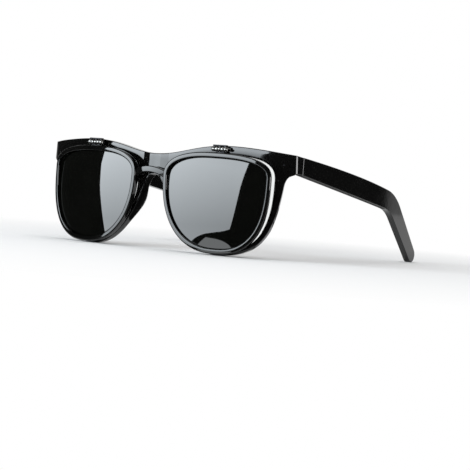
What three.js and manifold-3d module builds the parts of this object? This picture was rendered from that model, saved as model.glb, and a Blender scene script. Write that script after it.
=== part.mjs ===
// Flip-up welding spectacles: a black moulded frame with clear lenses, and a slim second front
// with dark lenses that swings up on two small metal hinges at the brow.
//
// Millimetres. X points to the wearer's left, Y backwards and Z up. Sizes of the front are taken
// from the middle of the bridge, level with the lens datum; the finished group is then lifted so
// that the rims and the temple tips stand on Z = 0.

import * as THREE from 'three';
import { mergeVertices } from 'three/addons/utils/BufferGeometryUtils.js';
import Module from 'manifold-3d';

const wasm = await Module();
wasm.setup();

// Clearances
const SEAT_GAP = 0.3; // between a piece and the seat it rests in
const RUNNING_GAP = 0.25; // between hinge pieces that turn on each other

// Dark lenses
const LENS_WIDTH = 51.9;
const LENS_HEIGHT = 43.8;
const LENS_RISE = 19.2; // top of the lens above the datum
const BRIDGE_GAP = 20.2; // between the two dark lenses
const DARK_LENS_THICK = 1.4;
const CLEAR_LENS_THICK = 2;
const LENS_DOME = 1; // how far the middle of a lens stands forward of its edge
const GROOVE_DEPTH = 0.9; // V groove that holds a lens edge
const WRAP_RADIUS = 262; // face-form curve of the whole front

// Front frame
const FRAME_DEPTH = 4.2;
const EDGE_ROUND = 0.6;
const LIP_BEVEL = 0.4;
const OPENING_SIDE = 1.4; // frame opening beyond the dark lens, towards the temple
const OPENING_NOSE = 0.2;
const OPENING_TOP = 2.1;
const OPENING_FOOT = 0.5; // frame opening short of the dark lens at the bottom
const SIDE_RIM = 2.9;
const LOWER_RIM = 3.1;
const NOSE_RIM = 3.2;
const BROW_BAND = 5.6; // crest of the brow above the dark lens
const BRIDGE_DIP = 5.8; // top of the bridge below the crest of the brow
const BRIDGE_HEIGHT = 9.5;
const END_REACH = 5.6; // end piece beyond the rim
const END_DROP = 2.2; // top of the end piece below the crest of the brow
const END_HEIGHT = 8.8;
const END_DEPTH = 6.2; // side face of the end piece
const END_SWEEP = 1.9; // end piece swept back behind the curve of the front
const PAD_DEPTH = 4.3; // nose pad behind the frame
const PAD_FLARE = 0.42;
const PAD_CREST = 1.2;
const PAD_LENGTH = 25;

// Flip-up frame
const FLIP_STANDOFF = 4.5; // front of the flip-up frame ahead of the front frame
const FLIP_DEPTH = 3.4;
const FLIP_RIM = 2.1;
const FLIP_RECESS = 1.5; // edge of the dark lens behind the front of its rim
const FLIP_TAPER = 0.5; // rim narrower at the back
const FLIP_BAR_HEIGHT = 3.2;
const FLIP_BAR_DEPTH = 2.4;
const FLIP_BAR_ARCH = 2.3;

// Flip hinges
const FLIP_HINGE_LENGTH = 11.6;
const FLIP_HINGE_OUTSET = 0.7; // hinge beyond the middle of the lens
const FLIP_HINGE_RISE = 0.65; // barrel above the flip-up rim
const FLIP_HINGE_SETBACK = 1.2; // axis behind the front of the flip-up frame
const FLIP_BARREL = 2.3;
const FLIP_PIN = 1;
const FLIP_LEAF_THICK = 0.6;
const FLIP_PLATE_WIDTH = 8;
const FLIP_PLATE_REACH = 6;
const FLIP_ANCHOR_LENGTH = 1;
const FLIP_FOOT_WIDTH = 5;
const FLIP_FOOT_LENGTH = 0.4;

// Temples
const TEMPLE_HEIGHT = 8.5;
const TEMPLE_EAR_HEIGHT = 9.2;
const TEMPLE_TIP_HEIGHT = 8;
const TEMPLE_THICK = 4;
const TEMPLE_TIP_THICK = 3.4;
const TEMPLE_SLOPE = 6.8; // degrees, falling to the back
const TEMPLE_TO_BEND = 95; // joint to the start of the bend
const TEMPLE_BEND = 38; // degrees
const TEMPLE_BEND_RADIUS = 26;
const TEMPLE_EDGE = 0.6;

// Temple hinges
const ARM_HINGE_HEIGHT = 7;
const ARM_BARREL = 3;
const ARM_SCREW = 1.4;
const ARM_LEAF_THICK = 0.9;
const ARM_LEAF_LENGTH = 9;
const ARM_LEAF_HEIGHT = 5.2;
const ARM_BASE_WIDTH = 3;
const RIVET = 1.4;
const RIVET_HEAD = 2.4;
const RIVET_HEAD_THICK = 0.5;

// Places worked out from the sizes above
const lensNose = BRIDGE_GAP / 2;
const lensSide = lensNose + LENS_WIDTH;
const lensMiddle = (lensNose + lensSide) / 2;
const lensFoot = LENS_RISE - LENS_HEIGHT;
const rimSide = lensSide + OPENING_SIDE + SIDE_RIM;
const rimFoot = lensFoot + OPENING_FOOT - LOWER_RIM;
const rimNose = lensNose - OPENING_NOSE - NOSE_RIM;
const browCrest = LENS_RISE + BROW_BAND;
const bridgeTop = browCrest - BRIDGE_DIP;
const bridgeFoot = bridgeTop - BRIDGE_HEIGHT;
const halfWidth = rimSide + END_REACH;
const endTop = browCrest - END_DROP;
const endFoot = endTop - END_HEIGHT;
const endMiddle = (endTop + endFoot) / 2;
const jointFace = sag(halfWidth) + END_DEPTH;
const rivetAt = halfWidth - END_REACH + RIVET_HEAD / 4;
const rivetLevel = endMiddle - RIVET_HEAD / 4;

const OVERLAP = 0.1; // of two bodies that are joined into one
const STEEL_ROUND = 16; // sides of a turned metal piece
const LENS_STEPS = 12;

const black = new THREE.MeshStandardMaterial({ color: 0x0b0b0c, roughness: 0.16, metalness: 0 });
const nickel = new THREE.MeshStandardMaterial({ color: 0xb4b6b8, roughness: 0.28, metalness: 1 });
const darkSteel = new THREE.MeshStandardMaterial({ color: 0x2a2b2d, roughness: 0.35, metalness: 1 });
const filter = new THREE.MeshStandardMaterial({ color: 0x12140f, roughness: 0.03, metalness: 0.2 });
const clear = new THREE.MeshStandardMaterial({
  color: 0xe8eeee, roughness: 0.03, metalness: 0, transparent: true, opacity: 0.25,
});

// Solids and meshes

/** Turns the faces of a closed geometry outwards. */
function faceOut(geometry) {
  const position = geometry.attributes.position;
  const index = geometry.index.array;
  const corner = (k) => new THREE.Vector3().fromBufferAttribute(position, index[k]);
  let volume = 0;
  for (let k = 0; k < index.length; k += 3) {
    volume += corner(k).dot(corner(k + 1).cross(corner(k + 2)));
  }
  if (volume < 0) {
    for (let k = 0; k < index.length; k += 3) {
      [index[k], index[k + 1]] = [index[k + 1], index[k]];
    }
  }
  return geometry;
}

/** A closed geometry as a solid for joining and cutting. */
function solid(geometry, weld = 1e-4) {
  const bare = geometry.clone();
  Object.keys(bare.attributes).filter((key) => key !== 'position').forEach((key) => bare.deleteAttribute(key));
  const merged = faceOut(mergeVertices(bare, weld));
  return new wasm.Manifold(new wasm.Mesh({
    numProp: 3,
    vertProperties: new Float32Array(merged.attributes.position.array),
    triVerts: new Uint32Array(merged.index.array),
  }));
}

/** A solid as a geometry again. */
function surface(body) {
  const mesh = body.getMesh();
  const geometry = new THREE.BufferGeometry();
  geometry.setAttribute('position', new THREE.Float32BufferAttribute(mesh.vertProperties, 3));
  geometry.setIndex(Array.from(mesh.triVerts));
  return geometry;
}

const join = (...bodies) => bodies.reduce((whole, body) => whole.add(body));
const mirrored = (body) => body.mirror([1, 0, 0]);

/** A half that ends in a flat wall at X = 0 and its mirror image, welded there with the wall taken out. */
function bothHalves(half) {
  const { vertProperties, triVerts } = half.getMesh();
  const corner = (vertex) => {
    const [x, y, z] = vertProperties.slice(3 * vertex, 3 * vertex + 3);
    return [Math.abs(x) < 1e-4 ? 0 : x, y, z];
  };
  const onMiddle = ([x]) => x === 0;
  const positions = [];
  for (let k = 0; k < triVerts.length; k += 3) {
    const triangle = [corner(triVerts[k]), corner(triVerts[k + 1]), corner(triVerts[k + 2])];
    if (!triangle.every(onMiddle)) {
      positions.push(...triangle.flat(), ...triangle.reverse().flatMap(([x, y, z]) => [-x, y, z]));
    }
  }
  const geometry = new THREE.BufferGeometry();
  geometry.setAttribute('position', new THREE.Float32BufferAttribute(positions, 3));
  return solid(geometry, 1e-6);
}

/** A named mesh of a solid, for the left side or mirrored for the right. */
function piece(name, body, material) {
  const geometry = surface(body).toNonIndexed();
  geometry.computeVertexNormals();
  const mesh = new THREE.Mesh(geometry, material);
  mesh.name = name;
  return mesh;
}

const pair = (name, body, material) => [
  piece(`left_${name}`, body, material),
  piece(`right_${name}`, mirrored(body), material),
];

/** A box between two corners. */
function box(low, high) {
  const size = high.map((value, axis) => value - low[axis]);
  const geometry = new THREE.BoxGeometry(...size);
  geometry.translate(...low.map((value, axis) => value + size[axis] / 2));
  return solid(geometry);
}

/** A ring or rod turned from a profile of [radius, height] points, along Z. */
function turned(profile) {
  const points = profile.map(([radius, height]) => new THREE.Vector2(radius, height));
  return new THREE.LatheGeometry(points, STEEL_ROUND).rotateX(Math.PI / 2);
}

const sleeve = (bore, outside, from, to) => turned([
  [bore, from], [outside, from], [outside, to], [bore, to], [bore, from],
]);

/** A plan outline of [x, y] points carried from one height to another. */
function upright(outline, from, to) {
  const shape = new THREE.Shape(outline.map(([x, y]) => new THREE.Vector2(x, y)));
  const geometry = new THREE.ExtrudeGeometry(shape, { depth: to - from, bevelEnabled: false });
  return solid(geometry.translate(0, 0, from));
}

/** Skins a row of sections with equal point counts, either round in a ring or capped at both ends. */
function loft(sections, ring) {
  const rows = sections.length;
  const columns = sections[0].length;
  const index = [];
  for (let row = 0; row < (ring ? rows : rows - 1); row += 1) {
    const next = (row + 1) % rows;
    for (let column = 0; column < columns; column += 1) {
      const beside = (column + 1) % columns;
      const [a, b] = [row * columns + column, next * columns + column];
      const [c, d] = [next * columns + beside, row * columns + beside];
      index.push(a, b, c, a, c, d);
    }
  }
  if (!ring) {
    const last = (rows - 1) * columns;
    for (let column = 1; column < columns - 1; column += 1) {
      index.push(0, column, column + 1, last, last + column + 1, last + column);
    }
  }
  const geometry = new THREE.BufferGeometry();
  const positions = sections.flat().flatMap((point) => point.toArray());
  geometry.setAttribute('position', new THREE.Float32BufferAttribute(positions, 3));
  geometry.setIndex(index);
  return solid(geometry);
}

// The wrapped front surface

/** How far the end piece has been swept back, as a share of its reach beyond the lens. */
function sweepShare(x) {
  return Math.max(0, (x - lensSide) / (halfWidth - lensSide));
}

/** How far the front has curved back at a distance x from its middle. */
function sag(x) {
  return WRAP_RADIUS - Math.sqrt(WRAP_RADIUS ** 2 - x ** 2) + END_SWEEP * sweepShare(x) ** 2;
}

/** The angle by which the front has turned back at that distance. */
function leanAt(x) {
  const swept = (2 * END_SWEEP * sweepShare(x)) / (halfWidth - lensSide);
  return Math.atan(Math.tan(Math.asin(x / WRAP_RADIUS)) + swept);
}

/** A point a depth behind the front surface, or behind one that stands off ahead of it. */
function onWrap(x, z, depth, standoff = 0) {
  const lean = leanAt(x);
  return new THREE.Vector3(x - depth * Math.sin(lean), sag(x) - standoff + depth * Math.cos(lean), z);
}

// Outlines in front view

/** A lens outline: four quarter superellipses that meet at its top, side, foot and nose points. */
function eyeOutline(eye, steps) {
  const { side, nose, top, foot, topAt, footAt, sideAt, noseAt, powers } = eye;
  const quarters = [
    { centre: [topAt, sideAt], reach: [side - topAt, top - sideAt], power: powers[0], rising: true },
    { centre: [footAt, sideAt], reach: [side - footAt, foot - sideAt], power: powers[1], rising: false },
    { centre: [footAt, noseAt], reach: [nose - footAt, foot - noseAt], power: powers[2], rising: true },
    { centre: [topAt, noseAt], reach: [nose - topAt, top - noseAt], power: powers[3], rising: false },
  ];
  return quarters.flatMap(({ centre, reach, power, rising }) => Array.from({ length: steps }, (_, k) => {
    const angle = (k / steps) * (Math.PI / 2);
    const swing = Math.sin(angle) ** (2 / power);
    const fall = Math.cos(angle) ** (2 / power);
    const [u, v] = rising ? [swing, fall] : [fall, swing];
    return new THREE.Vector2(centre[0] + reach[0] * u, centre[1] + reach[1] * v);
  }));
}

/** The same outline moved outwards by a distance along its normals. */
function offsetOutline(points, distance) {
  return points.map((point, k) => {
    const before = points[(k + points.length - 1) % points.length];
    const after = points[(k + 1) % points.length];
    const along = after.clone().sub(before).normalize();
    return new THREE.Vector2(point.x - along.y * distance, point.y + along.x * distance);
  });
}

/** Where the line from an outline's centre to an outer point crosses that outline. */
function crossing(points, centre, outer) {
  const towards = outer.clone().sub(centre);
  const turn = (point) => towards.cross(point.clone().sub(centre));
  const ahead = (point) => towards.dot(point.clone().sub(centre)) > 0;
  const first = points.findIndex((point, k) => {
    const after = points[(k + 1) % points.length];
    return turn(point) >= 0 && turn(after) < 0 && ahead(point);
  });
  const from = points[first];
  const to = points[(first + 1) % points.length];
  return from.clone().lerp(to, turn(from) / (turn(from) - turn(to)));
}

const darkEye = {
  side: lensSide,
  nose: lensNose,
  top: LENS_RISE,
  foot: lensFoot,
  topAt: lensMiddle - 2.1,
  footAt: lensMiddle + 1.7,
  sideAt: LENS_RISE - 9.4,
  noseAt: LENS_RISE - 10.1,
  powers: [2.74, 2.55, 2.23, 2.39],
};
const frameEye = {
  side: lensSide + OPENING_SIDE,
  nose: lensNose - OPENING_NOSE,
  top: LENS_RISE + OPENING_TOP,
  foot: lensFoot + OPENING_FOOT,
  topAt: lensMiddle + 2,
  footAt: lensMiddle + 3.9,
  sideAt: LENS_RISE - 11.2,
  noseAt: LENS_RISE - 10.1,
  powers: [4, 2.55, 2.2, 2.4],
};
const darkOutline = eyeOutline(darkEye, LENS_STEPS);
const frameOutline = eyeOutline(frameEye, LENS_STEPS);

// Lenses

/** A lens with a V edge that sits in a groove of its rim, bulging forward in the middle. */
function lens(outline, thick, frontDepth, standoff) {
  const centre = new THREE.Vector2(lensMiddle, LENS_RISE - LENS_HEIGHT / 2);
  const face = offsetOutline(outline, -SEAT_GAP);
  const edge = offsetOutline(outline, GROOVE_DEPTH - 1.4 * SEAT_GAP);
  const shares = [1, 0.7, 0.36];
  const ring = (points, share, depth) => points.map((point) => {
    const at = centre.clone().lerp(point, share);
    return onWrap(at.x, at.y, depth - LENS_DOME * (1 - share ** 2), standoff);
  });
  const rows = [
    ...shares.map((share) => ring(face, share, frontDepth)).reverse(),
    ring(edge, 1, frontDepth + thick / 2),
    ...shares.map((share) => ring(face, share, frontDepth + thick)),
  ];
  return loft(rows, false);
}

/** Depths of a V groove for a lens, as points across the wall of its opening. */
function grooveDepths(frontDepth, thick) {
  const middle = frontDepth + thick / 2;
  const half = thick / 2 + SEAT_GAP * 0.7;
  return { before: middle - half, middle, behind: middle + half };
}

// Front frame

const clearFront = (FRAME_DEPTH - CLEAR_LENS_THICK) / 2;

/** Stations on the outer edge of the left half, up the middle of the bridge, along the brow and back round. */
function frameEdge() {
  const neck = [rimSide + 1.1, endFoot - 5.8]; // where the rim leaves the end piece
  const waist = [rimNose + 0.6, 0]; // rim beside the nose, level with the datum
  const footAt = lensMiddle + 1;
  const crestAt = lensMiddle + 5;
  const bezier = (...points) => new THREE.CubicBezierCurve(...points.map((p) => new THREE.Vector2(...p)));
  const line = (...points) => new THREE.LineCurve(...points.map((p) => new THREE.Vector2(...p)));
  const middle = { curve: line([0, bridgeFoot], [0, bridgeTop]), count: 5, soft: 0 };
  const runs = [
    middle,
    {
      curve: bezier([0, bridgeTop], [crestAt * 0.34, bridgeTop], [crestAt * 0.54, browCrest], [crestAt, browCrest]),
      count: 9,
    },
    {
      curve: bezier([crestAt, browCrest], [crestAt + 10, browCrest], [halfWidth - 10, endTop + 1.1],
        [halfWidth, endTop]),
      count: 6,
    },
    { curve: line([halfWidth, endTop], [halfWidth, endFoot]), count: 3 },
    {
      curve: bezier([halfWidth, endFoot], [halfWidth - 2.4, endFoot - 0.5], [neck[0] + 0.6, neck[1] + 3.5], neck),
      count: 4,
    },
    { curve: bezier(neck, [rimSide - 2.5, rimFoot + 13.2], [rimSide - 8, rimFoot], [footAt, rimFoot]), count: 12 },
    { curve: bezier([footAt, rimFoot], [footAt - 13, rimFoot], [waist[0] + 5.5, -14.5], waist), count: 12 },
    { curve: bezier(waist, [waist[0] - 1, 3.4], [waist[0] * 0.45, bridgeFoot], [0, bridgeFoot]), count: 6 },
  ];
  const inward = ({ curve, soft = EDGE_ROUND }, share) => {
    const along = curve.getTangent(share);
    return new THREE.Vector2(along.y, -along.x).multiplyScalar(Math.sign(soft));
  };
  return runs.flatMap((run, place) => Array.from({ length: run.count }, (_, k) => {
    const share = k / run.count;
    const here = inward(run, share);
    const before = k > 0 ? here : inward(runs[(place + runs.length - 1) % runs.length], 1);
    const inset = here.clone().add(before).divideScalar(1 + here.dot(before));
    if (k > 0 && run === middle) inset.set(0, 0);
    return { point: run.curve.getPoint(share), inset: inset.multiplyScalar(EDGE_ROUND) };
  }));
}

/** How far a moulded nose pad stands behind the frame at a point of the outer edge. */
function padRise(point) {
  const padMiddle = -5;
  const away = Math.abs(point.y - padMiddle) / (PAD_LENGTH / 2);
  const besideNose = point.x > 0 && point.x < lensMiddle / 2;
  return besideNose && away < 1 ? PAD_DEPTH * Math.cos((away * Math.PI) / 2) ** 2 : 0;
}

/** Section through the rim, from the lens opening to a station of the outer edge, with the lens groove. */
function frameSection(inner, { point: outer, inset }) {
  const across = outer.clone().sub(inner);
  const width = across.length();
  across.normalize();
  const place = (point, depth) => onWrap(point.x, point.y, depth);
  const at = (reach, depth) => place(inner.clone().addScaledVector(across, reach), depth);
  const softened = outer.clone().add(inset);
  const rise = padRise(outer);
  const crest = softened.clone().addScaledVector(across, -PAD_FLARE * rise);
  const groove = grooveDepths(clearFront, CLEAR_LENS_THICK);
  return [
    at(LIP_BEVEL, 0),
    place(softened, 0),
    at(width, EDGE_ROUND),
    at(width, FRAME_DEPTH - EDGE_ROUND),
    place(crest, FRAME_DEPTH + rise),
    place(crest.clone().addScaledVector(across, -PAD_CREST), FRAME_DEPTH + rise),
    at(LIP_BEVEL, FRAME_DEPTH),
    at(0, FRAME_DEPTH - LIP_BEVEL),
    at(0, groove.behind),
    at(GROOVE_DEPTH, groove.middle),
    at(0, groove.before),
    at(0, LIP_BEVEL),
  ];
}

/** Block behind the end of the brow that carries the side face and the temple joint. */
function endBlock() {
  const inside = halfWidth - TEMPLE_THICK;
  const corner = 0.45; // softened front corner
  const sunk = 0.05; // faces just inside those of the brow
  const outline = [
    [inside - 1, sag(inside - 1) + 1],
    [halfWidth - corner, sag(halfWidth - corner) + sunk],
    [halfWidth, sag(halfWidth) + corner],
    [halfWidth, jointFace],
    [inside, jointFace],
    [inside, jointFace - 2.4],
    [inside - 2, sag(inside - 2) + FRAME_DEPTH - 0.5],
  ];
  const shape = new THREE.Shape(outline.map(([x, y]) => new THREE.Vector2(x, y)));
  const soft = EDGE_ROUND / 2;
  const block = new THREE.ExtrudeGeometry(shape, {
    depth: END_HEIGHT - 2 * soft, bevelThickness: soft, bevelSize: soft, bevelOffset: -soft, bevelSegments: 1,
  });
  block.translate(0, 0, soft);
  const position = block.attributes.position;
  const browFall = 0.11; // the top follows the brow down to the corner, then the temple
  const sideFall = 0.09;
  for (let k = 0; k < position.count; k += 1) {
    const x = position.getX(k);
    const back = Math.max(0, position.getY(k) - sag(halfWidth));
    const share = position.getZ(k) / END_HEIGHT;
    const top = endTop - sunk + browFall * (halfWidth - x) - sideFall * back;
    position.setZ(k, endFoot + sunk + share * (top - endFoot));
  }
  return solid(block);
}

/** A rod or hole through the end piece, square to the wrapped front, from one depth to another. */
function throughEnd(radius, from, to) {
  const rod = turned([[0, from], [radius, from], [radius, to], [0, to]]);
  return solid(placeAtRivet(rod));
}

function placeAtRivet(geometry) {
  return geometry.rotateX(-Math.PI / 2).rotateZ(leanAt(rivetAt)).translate(rivetAt, sag(rivetAt), rivetLevel);
}


function frontFrame() {
  const centre = new THREE.Vector2(lensMiddle, LENS_RISE - LENS_HEIGHT / 2);
  const dense = eyeOutline(frameEye, LENS_STEPS * 3);
  const sections = frameEdge().map((station) => frameSection(crossing(dense, centre, station.point), station));
  const half = join(loft(sections, true), endBlock())
    .subtract(flipPlateSeat())
    .subtract(throughEnd(RIVET / 2 + SEAT_GAP, -1, FRAME_DEPTH + 2))
    .subtract(throughEnd(RIVET_HEAD / 2 + SEAT_GAP, -1, RIVET_HEAD_THICK + SEAT_GAP));
  return bothHalves(half);
}

// Flip-up frame

function flipSection(inner, outer) {
  const across = outer.clone().sub(inner);
  const width = across.length();
  across.normalize();
  const at = (reach, depth) => {
    const point = inner.clone().addScaledVector(across, reach);
    return onWrap(point.x, point.y, depth, FLIP_STANDOFF);
  };
  const groove = grooveDepths(FLIP_RECESS, DARK_LENS_THICK);
  const bevel = LIP_BEVEL;
  return [
    at(bevel, 0),
    at(width - EDGE_ROUND, 0),
    at(width, EDGE_ROUND),
    at(width - FLIP_TAPER, FLIP_DEPTH - EDGE_ROUND),
    at(width - FLIP_TAPER - EDGE_ROUND / 2, FLIP_DEPTH),
    at(bevel, FLIP_DEPTH),
    at(0, FLIP_DEPTH - bevel / 4),
    at(0, groove.behind),
    at(GROOVE_DEPTH, groove.middle),
    at(0, groove.before),
    at(0, bevel),
  ];
}

/** The short arched bar that joins the two rims, from rim to rim. */
function flipBar() {
  const reach = lensNose - FLIP_RIM * 0.6;
  const steps = 8;
  const rise = darkEye.noseAt;
  const sections = Array.from({ length: steps + 1 }, (_, k) => {
    const share = (2 * k) / steps - 1;
    const x = share * reach;
    const lean = Math.atan2(-2 * FLIP_BAR_ARCH * share, reach);
    const high = FLIP_BAR_HEIGHT / 2;
    const deep = FLIP_BAR_DEPTH;
    const soft = EDGE_ROUND;
    const profile = [
      [high - soft, 0], [high, soft], [high, deep - soft], [high - soft, deep],
      [soft - high, deep], [-high, deep - soft], [-high, soft], [soft - high, 0],
    ];
    return profile.map(([up, depth]) => onWrap(
      x - up * Math.sin(lean),
      rise + FLIP_BAR_ARCH * (1 - share ** 2) + up * Math.cos(lean),
      depth + (FLIP_DEPTH - deep) / 2,
      FLIP_STANDOFF,
    ));
  });
  return loft(sections, false);
}

function flipFrame() {
  const outer = offsetOutline(darkOutline, FLIP_RIM);
  const rim = loft(darkOutline.map((inner, k) => flipSection(inner, outer[k])), true).subtract(flipFootSeat());
  return join(rim, mirrored(rim), flipBar());
}

// Flip hinges: the barrel lies along X above the flip-up rim, ahead of the brow

const barrel = FLIP_BARREL / 2;
const flipHinge = {
  x: lensMiddle + FLIP_HINGE_OUTSET,
  y: sag(lensMiddle + FLIP_HINGE_OUTSET) - FLIP_STANDOFF + FLIP_HINGE_SETBACK,
  z: LENS_RISE + FLIP_RIM + FLIP_HINGE_RISE + barrel,
};
const flipRimTop = -barrel - FLIP_HINGE_RISE; // top of the flip-up rim below the hinge axis
const KNUCKLES = 5;
const knuckle = FLIP_HINGE_LENGTH / KNUCKLES;
const plateFoot = barrel + RUNNING_GAP;
const plateTop = plateFoot + FLIP_LEAF_THICK;
const anchorBack = FLIP_PLATE_REACH;
const anchorFront = anchorBack - 1;
const anchorHalf = FLIP_PLATE_WIDTH / 3.5;
const footFront = 0.75;
const footBack = footFront + FLIP_LEAF_THICK;

const atFlipHinge = (body) => body.translate([flipHinge.x, flipHinge.y, flipHinge.z]);

/** Span of one knuckle along the hinge axis, counted from the nose side. */
const knuckleSpan = (place) => [
  (place - KNUCKLES / 2) * knuckle + RUNNING_GAP / 2,
  (place + 1 - KNUCKLES / 2) * knuckle - RUNNING_GAP / 2,
];

/** One knuckle of the barrel, bored for the pin. */
function flipKnuckle(place) {
  const ring = sleeve(FLIP_PIN / 2 + RUNNING_GAP, barrel, ...knuckleSpan(place));
  return solid(ring.rotateY(Math.PI / 2));
}

/** Leaf fixed to the brow: three knuckles hang from a plate that an anchor holds in the plastic. */
function flipFrameLeaf() {
  const half = FLIP_PLATE_WIDTH / 2;
  const plate = box([-half, -barrel / 2, plateFoot], [half, anchorBack, plateTop]);
  const anchor = box(
    [-anchorHalf, anchorFront, plateFoot - FLIP_ANCHOR_LENGTH],
    [anchorHalf, anchorBack, plateFoot + OVERLAP],
  );
  const posts = [0, 2, 4].map((place) => {
    const [from, to] = knuckleSpan(place);
    const low = [Math.max(from, -half), -barrel / 2, barrel * 0.7];
    const post = box(low, [Math.min(to, half), barrel / 2, plateFoot + OVERLAP]);
    return join(flipKnuckle(place), post);
  });
  return join(plate, anchor, ...posts);
}

/** Room in the brow for the plate and its anchor. */
function flipPlateSeat() {
  const half = FLIP_PLATE_WIDTH / 2 + SEAT_GAP;
  const above = plateTop + BROW_BAND;
  const plate = box([-half, -FLIP_STANDOFF, plateFoot - SEAT_GAP], [half, anchorBack + SEAT_GAP, above]);
  const anchor = box(
    [-anchorHalf - SEAT_GAP, anchorFront - SEAT_GAP, plateFoot - FLIP_ANCHOR_LENGTH - SEAT_GAP],
    [anchorHalf + SEAT_GAP, anchorBack + SEAT_GAP, above],
  );
  return atFlipHinge(join(plate, anchor));
}

/** Leaf fixed to the flip-up rim: two knuckles on legs above a foot that is sunk in the rim. */
function flipRimLeaf() {
  const half = FLIP_FOOT_WIDTH / 2;
  const foot = box([-half, footFront, flipRimTop - FLIP_FOOT_LENGTH], [half, footBack, -barrel - RUNNING_GAP]);
  const legs = [1, 3].map((place) => {
    const [from, to] = knuckleSpan(place);
    const leg = box([from, footFront, flipRimTop + SEAT_GAP / 2], [to, Math.min(footBack, barrel), 0]);
    return join(flipKnuckle(place), leg);
  });
  const bore = sleeve(0, FLIP_PIN / 2 + RUNNING_GAP, -FLIP_HINGE_LENGTH, FLIP_HINGE_LENGTH);
  return join(foot, ...legs).subtract(solid(bore.rotateY(Math.PI / 2)));
}

/** Slot in the top of the flip-up rim for the foot of that leaf. */
function flipFootSeat() {
  const half = FLIP_FOOT_WIDTH / 2 + SEAT_GAP;
  return atFlipHinge(box(
    [-half, footFront - SEAT_GAP, flipRimTop - FLIP_FOOT_LENGTH - SEAT_GAP],
    [half, footBack + SEAT_GAP, 0],
  ));
}

/** Pin of the flip hinge, a rod with a rounded head at each end. */
function flipPin() {
  const end = FLIP_HINGE_LENGTH / 2 + RUNNING_GAP / 2;
  const rod = FLIP_PIN / 2;
  const head = barrel * 0.8;
  const thick = rod;
  const profile = [
    [0, -end - thick], [head * 0.7, -end - thick], [head, -end - thick / 2], [head, -end], [rod, -end],
    [rod, end], [head, end], [head, end + thick / 2], [head * 0.7, end + thick], [0, end + thick],
  ];
  return solid(turned(profile).rotateY(Math.PI / 2));
}

// Temples

const jointBack = jointFace + SEAT_GAP;
const templeTop = endTop - 0.5; // top edge at the joint
const templeMiddle = templeTop - TEMPLE_HEIGHT / 2;

/** Side outline of a temple in Y and Z: straight arm, bend over the ear and a tip down to the table. */
function templeOutline() {
  const slope = THREE.MathUtils.degToRad(TEMPLE_SLOPE);
  const droop = slope + THREE.MathUtils.degToRad(TEMPLE_BEND);
  const aim = (angle) => new THREE.Vector2(Math.cos(angle), -Math.sin(angle));
  const upFrom = (angle) => new THREE.Vector2(Math.sin(angle), Math.cos(angle));
  const joint = new THREE.Vector2(jointBack, templeMiddle);
  const bendStart = joint.clone().addScaledVector(aim(slope), TEMPLE_TO_BEND);
  const centre = bendStart.clone().addScaledVector(upFrom(slope), -TEMPLE_BEND_RADIUS);
  const bendEnd = centre.clone().addScaledVector(upFrom(droop), TEMPLE_BEND_RADIUS);
  const ear = TEMPLE_EAR_HEIGHT / 2;
  const tip = TEMPLE_TIP_HEIGHT / 2;
  const tipLength = (bendEnd.y - rimFoot - tip) / Math.sin(droop);
  const tipCentre = bendEnd.clone().addScaledVector(aim(droop), tipLength);
  const quarter = Math.PI / 2;
  const shape = new THREE.Shape();
  shape.moveTo(jointBack, templeTop);
  shape.lineTo(jointBack, templeTop - TEMPLE_HEIGHT);
  shape.absarc(centre.x, centre.y, TEMPLE_BEND_RADIUS - ear, quarter - slope, quarter - droop, true);
  shape.absarc(tipCentre.x, tipCentre.y, tip, -quarter - droop, quarter - droop, false);
  shape.absarc(centre.x, centre.y, TEMPLE_BEND_RADIUS + ear, quarter - droop, quarter - slope, false);
  shape.closePath();
  return { shape, end: tipCentre.x + tip };
}

function temple() {
  const { shape, end } = templeOutline();
  const soft = TEMPLE_EDGE;
  const arm = new THREE.ExtrudeGeometry(shape, {
    depth: TEMPLE_THICK - 2 * soft,
    bevelThickness: soft,
    bevelSize: soft,
    bevelOffset: -soft,
    bevelSegments: 2,
    curveSegments: 10,
  });
  const acrossToX = new THREE.Matrix4().makeBasis(
    new THREE.Vector3(0, 1, 0), new THREE.Vector3(0, 0, 1), new THREE.Vector3(1, 0, 0),
  );
  arm.translate(0, 0, soft - TEMPLE_THICK).applyMatrix4(acrossToX);
  const position = arm.attributes.position;
  for (let k = 0; k < position.count; k += 1) {
    const share = (position.getY(k) - jointBack) / (end - jointBack);
    const thin = THREE.MathUtils.lerp(1, TEMPLE_TIP_THICK / TEMPLE_THICK, share);
    position.setX(k, halfWidth + position.getX(k) * thin);
  }
  return solid(arm).subtract(armLeafSeat());
}

// Temple hinges: an upright barrel just inside the temple, level with the joint

const armBarrel = ARM_BARREL / 2;
const armInside = halfWidth - TEMPLE_THICK;
const armHinge = { x: armInside - armBarrel - RUNNING_GAP, y: jointFace + SEAT_GAP / 2, z: templeMiddle };
const armLow = armHinge.z - ARM_HINGE_HEIGHT / 2;
const armKnuckle = ARM_HINGE_HEIGHT / 3;
const leafOuter = armInside + ARM_LEAF_THICK - SEAT_GAP;
const leafStart = jointBack + 1.2;

/** One of the three knuckles of the upright barrel, counted from below, with its span. */
function armKnuckleRing(place) {
  const from = armLow + place * armKnuckle + RUNNING_GAP / 2;
  const to = armLow + (place + 1) * armKnuckle - RUNNING_GAP / 2;
  const ring = sleeve(ARM_SCREW / 2 + RUNNING_GAP, armBarrel, from, to);
  return { ring: solid(ring.translate(armHinge.x, armHinge.y, 0)), from, to };
}

const armBore = () => {
  const hole = turned([[0, -armKnuckle], [ARM_SCREW / 2 + RUNNING_GAP, -armKnuckle],
    [ARM_SCREW / 2 + RUNNING_GAP, 4 * armKnuckle], [0, 4 * armKnuckle]]);
  return solid(hole.translate(armHinge.x, armHinge.y, armLow));
};

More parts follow.
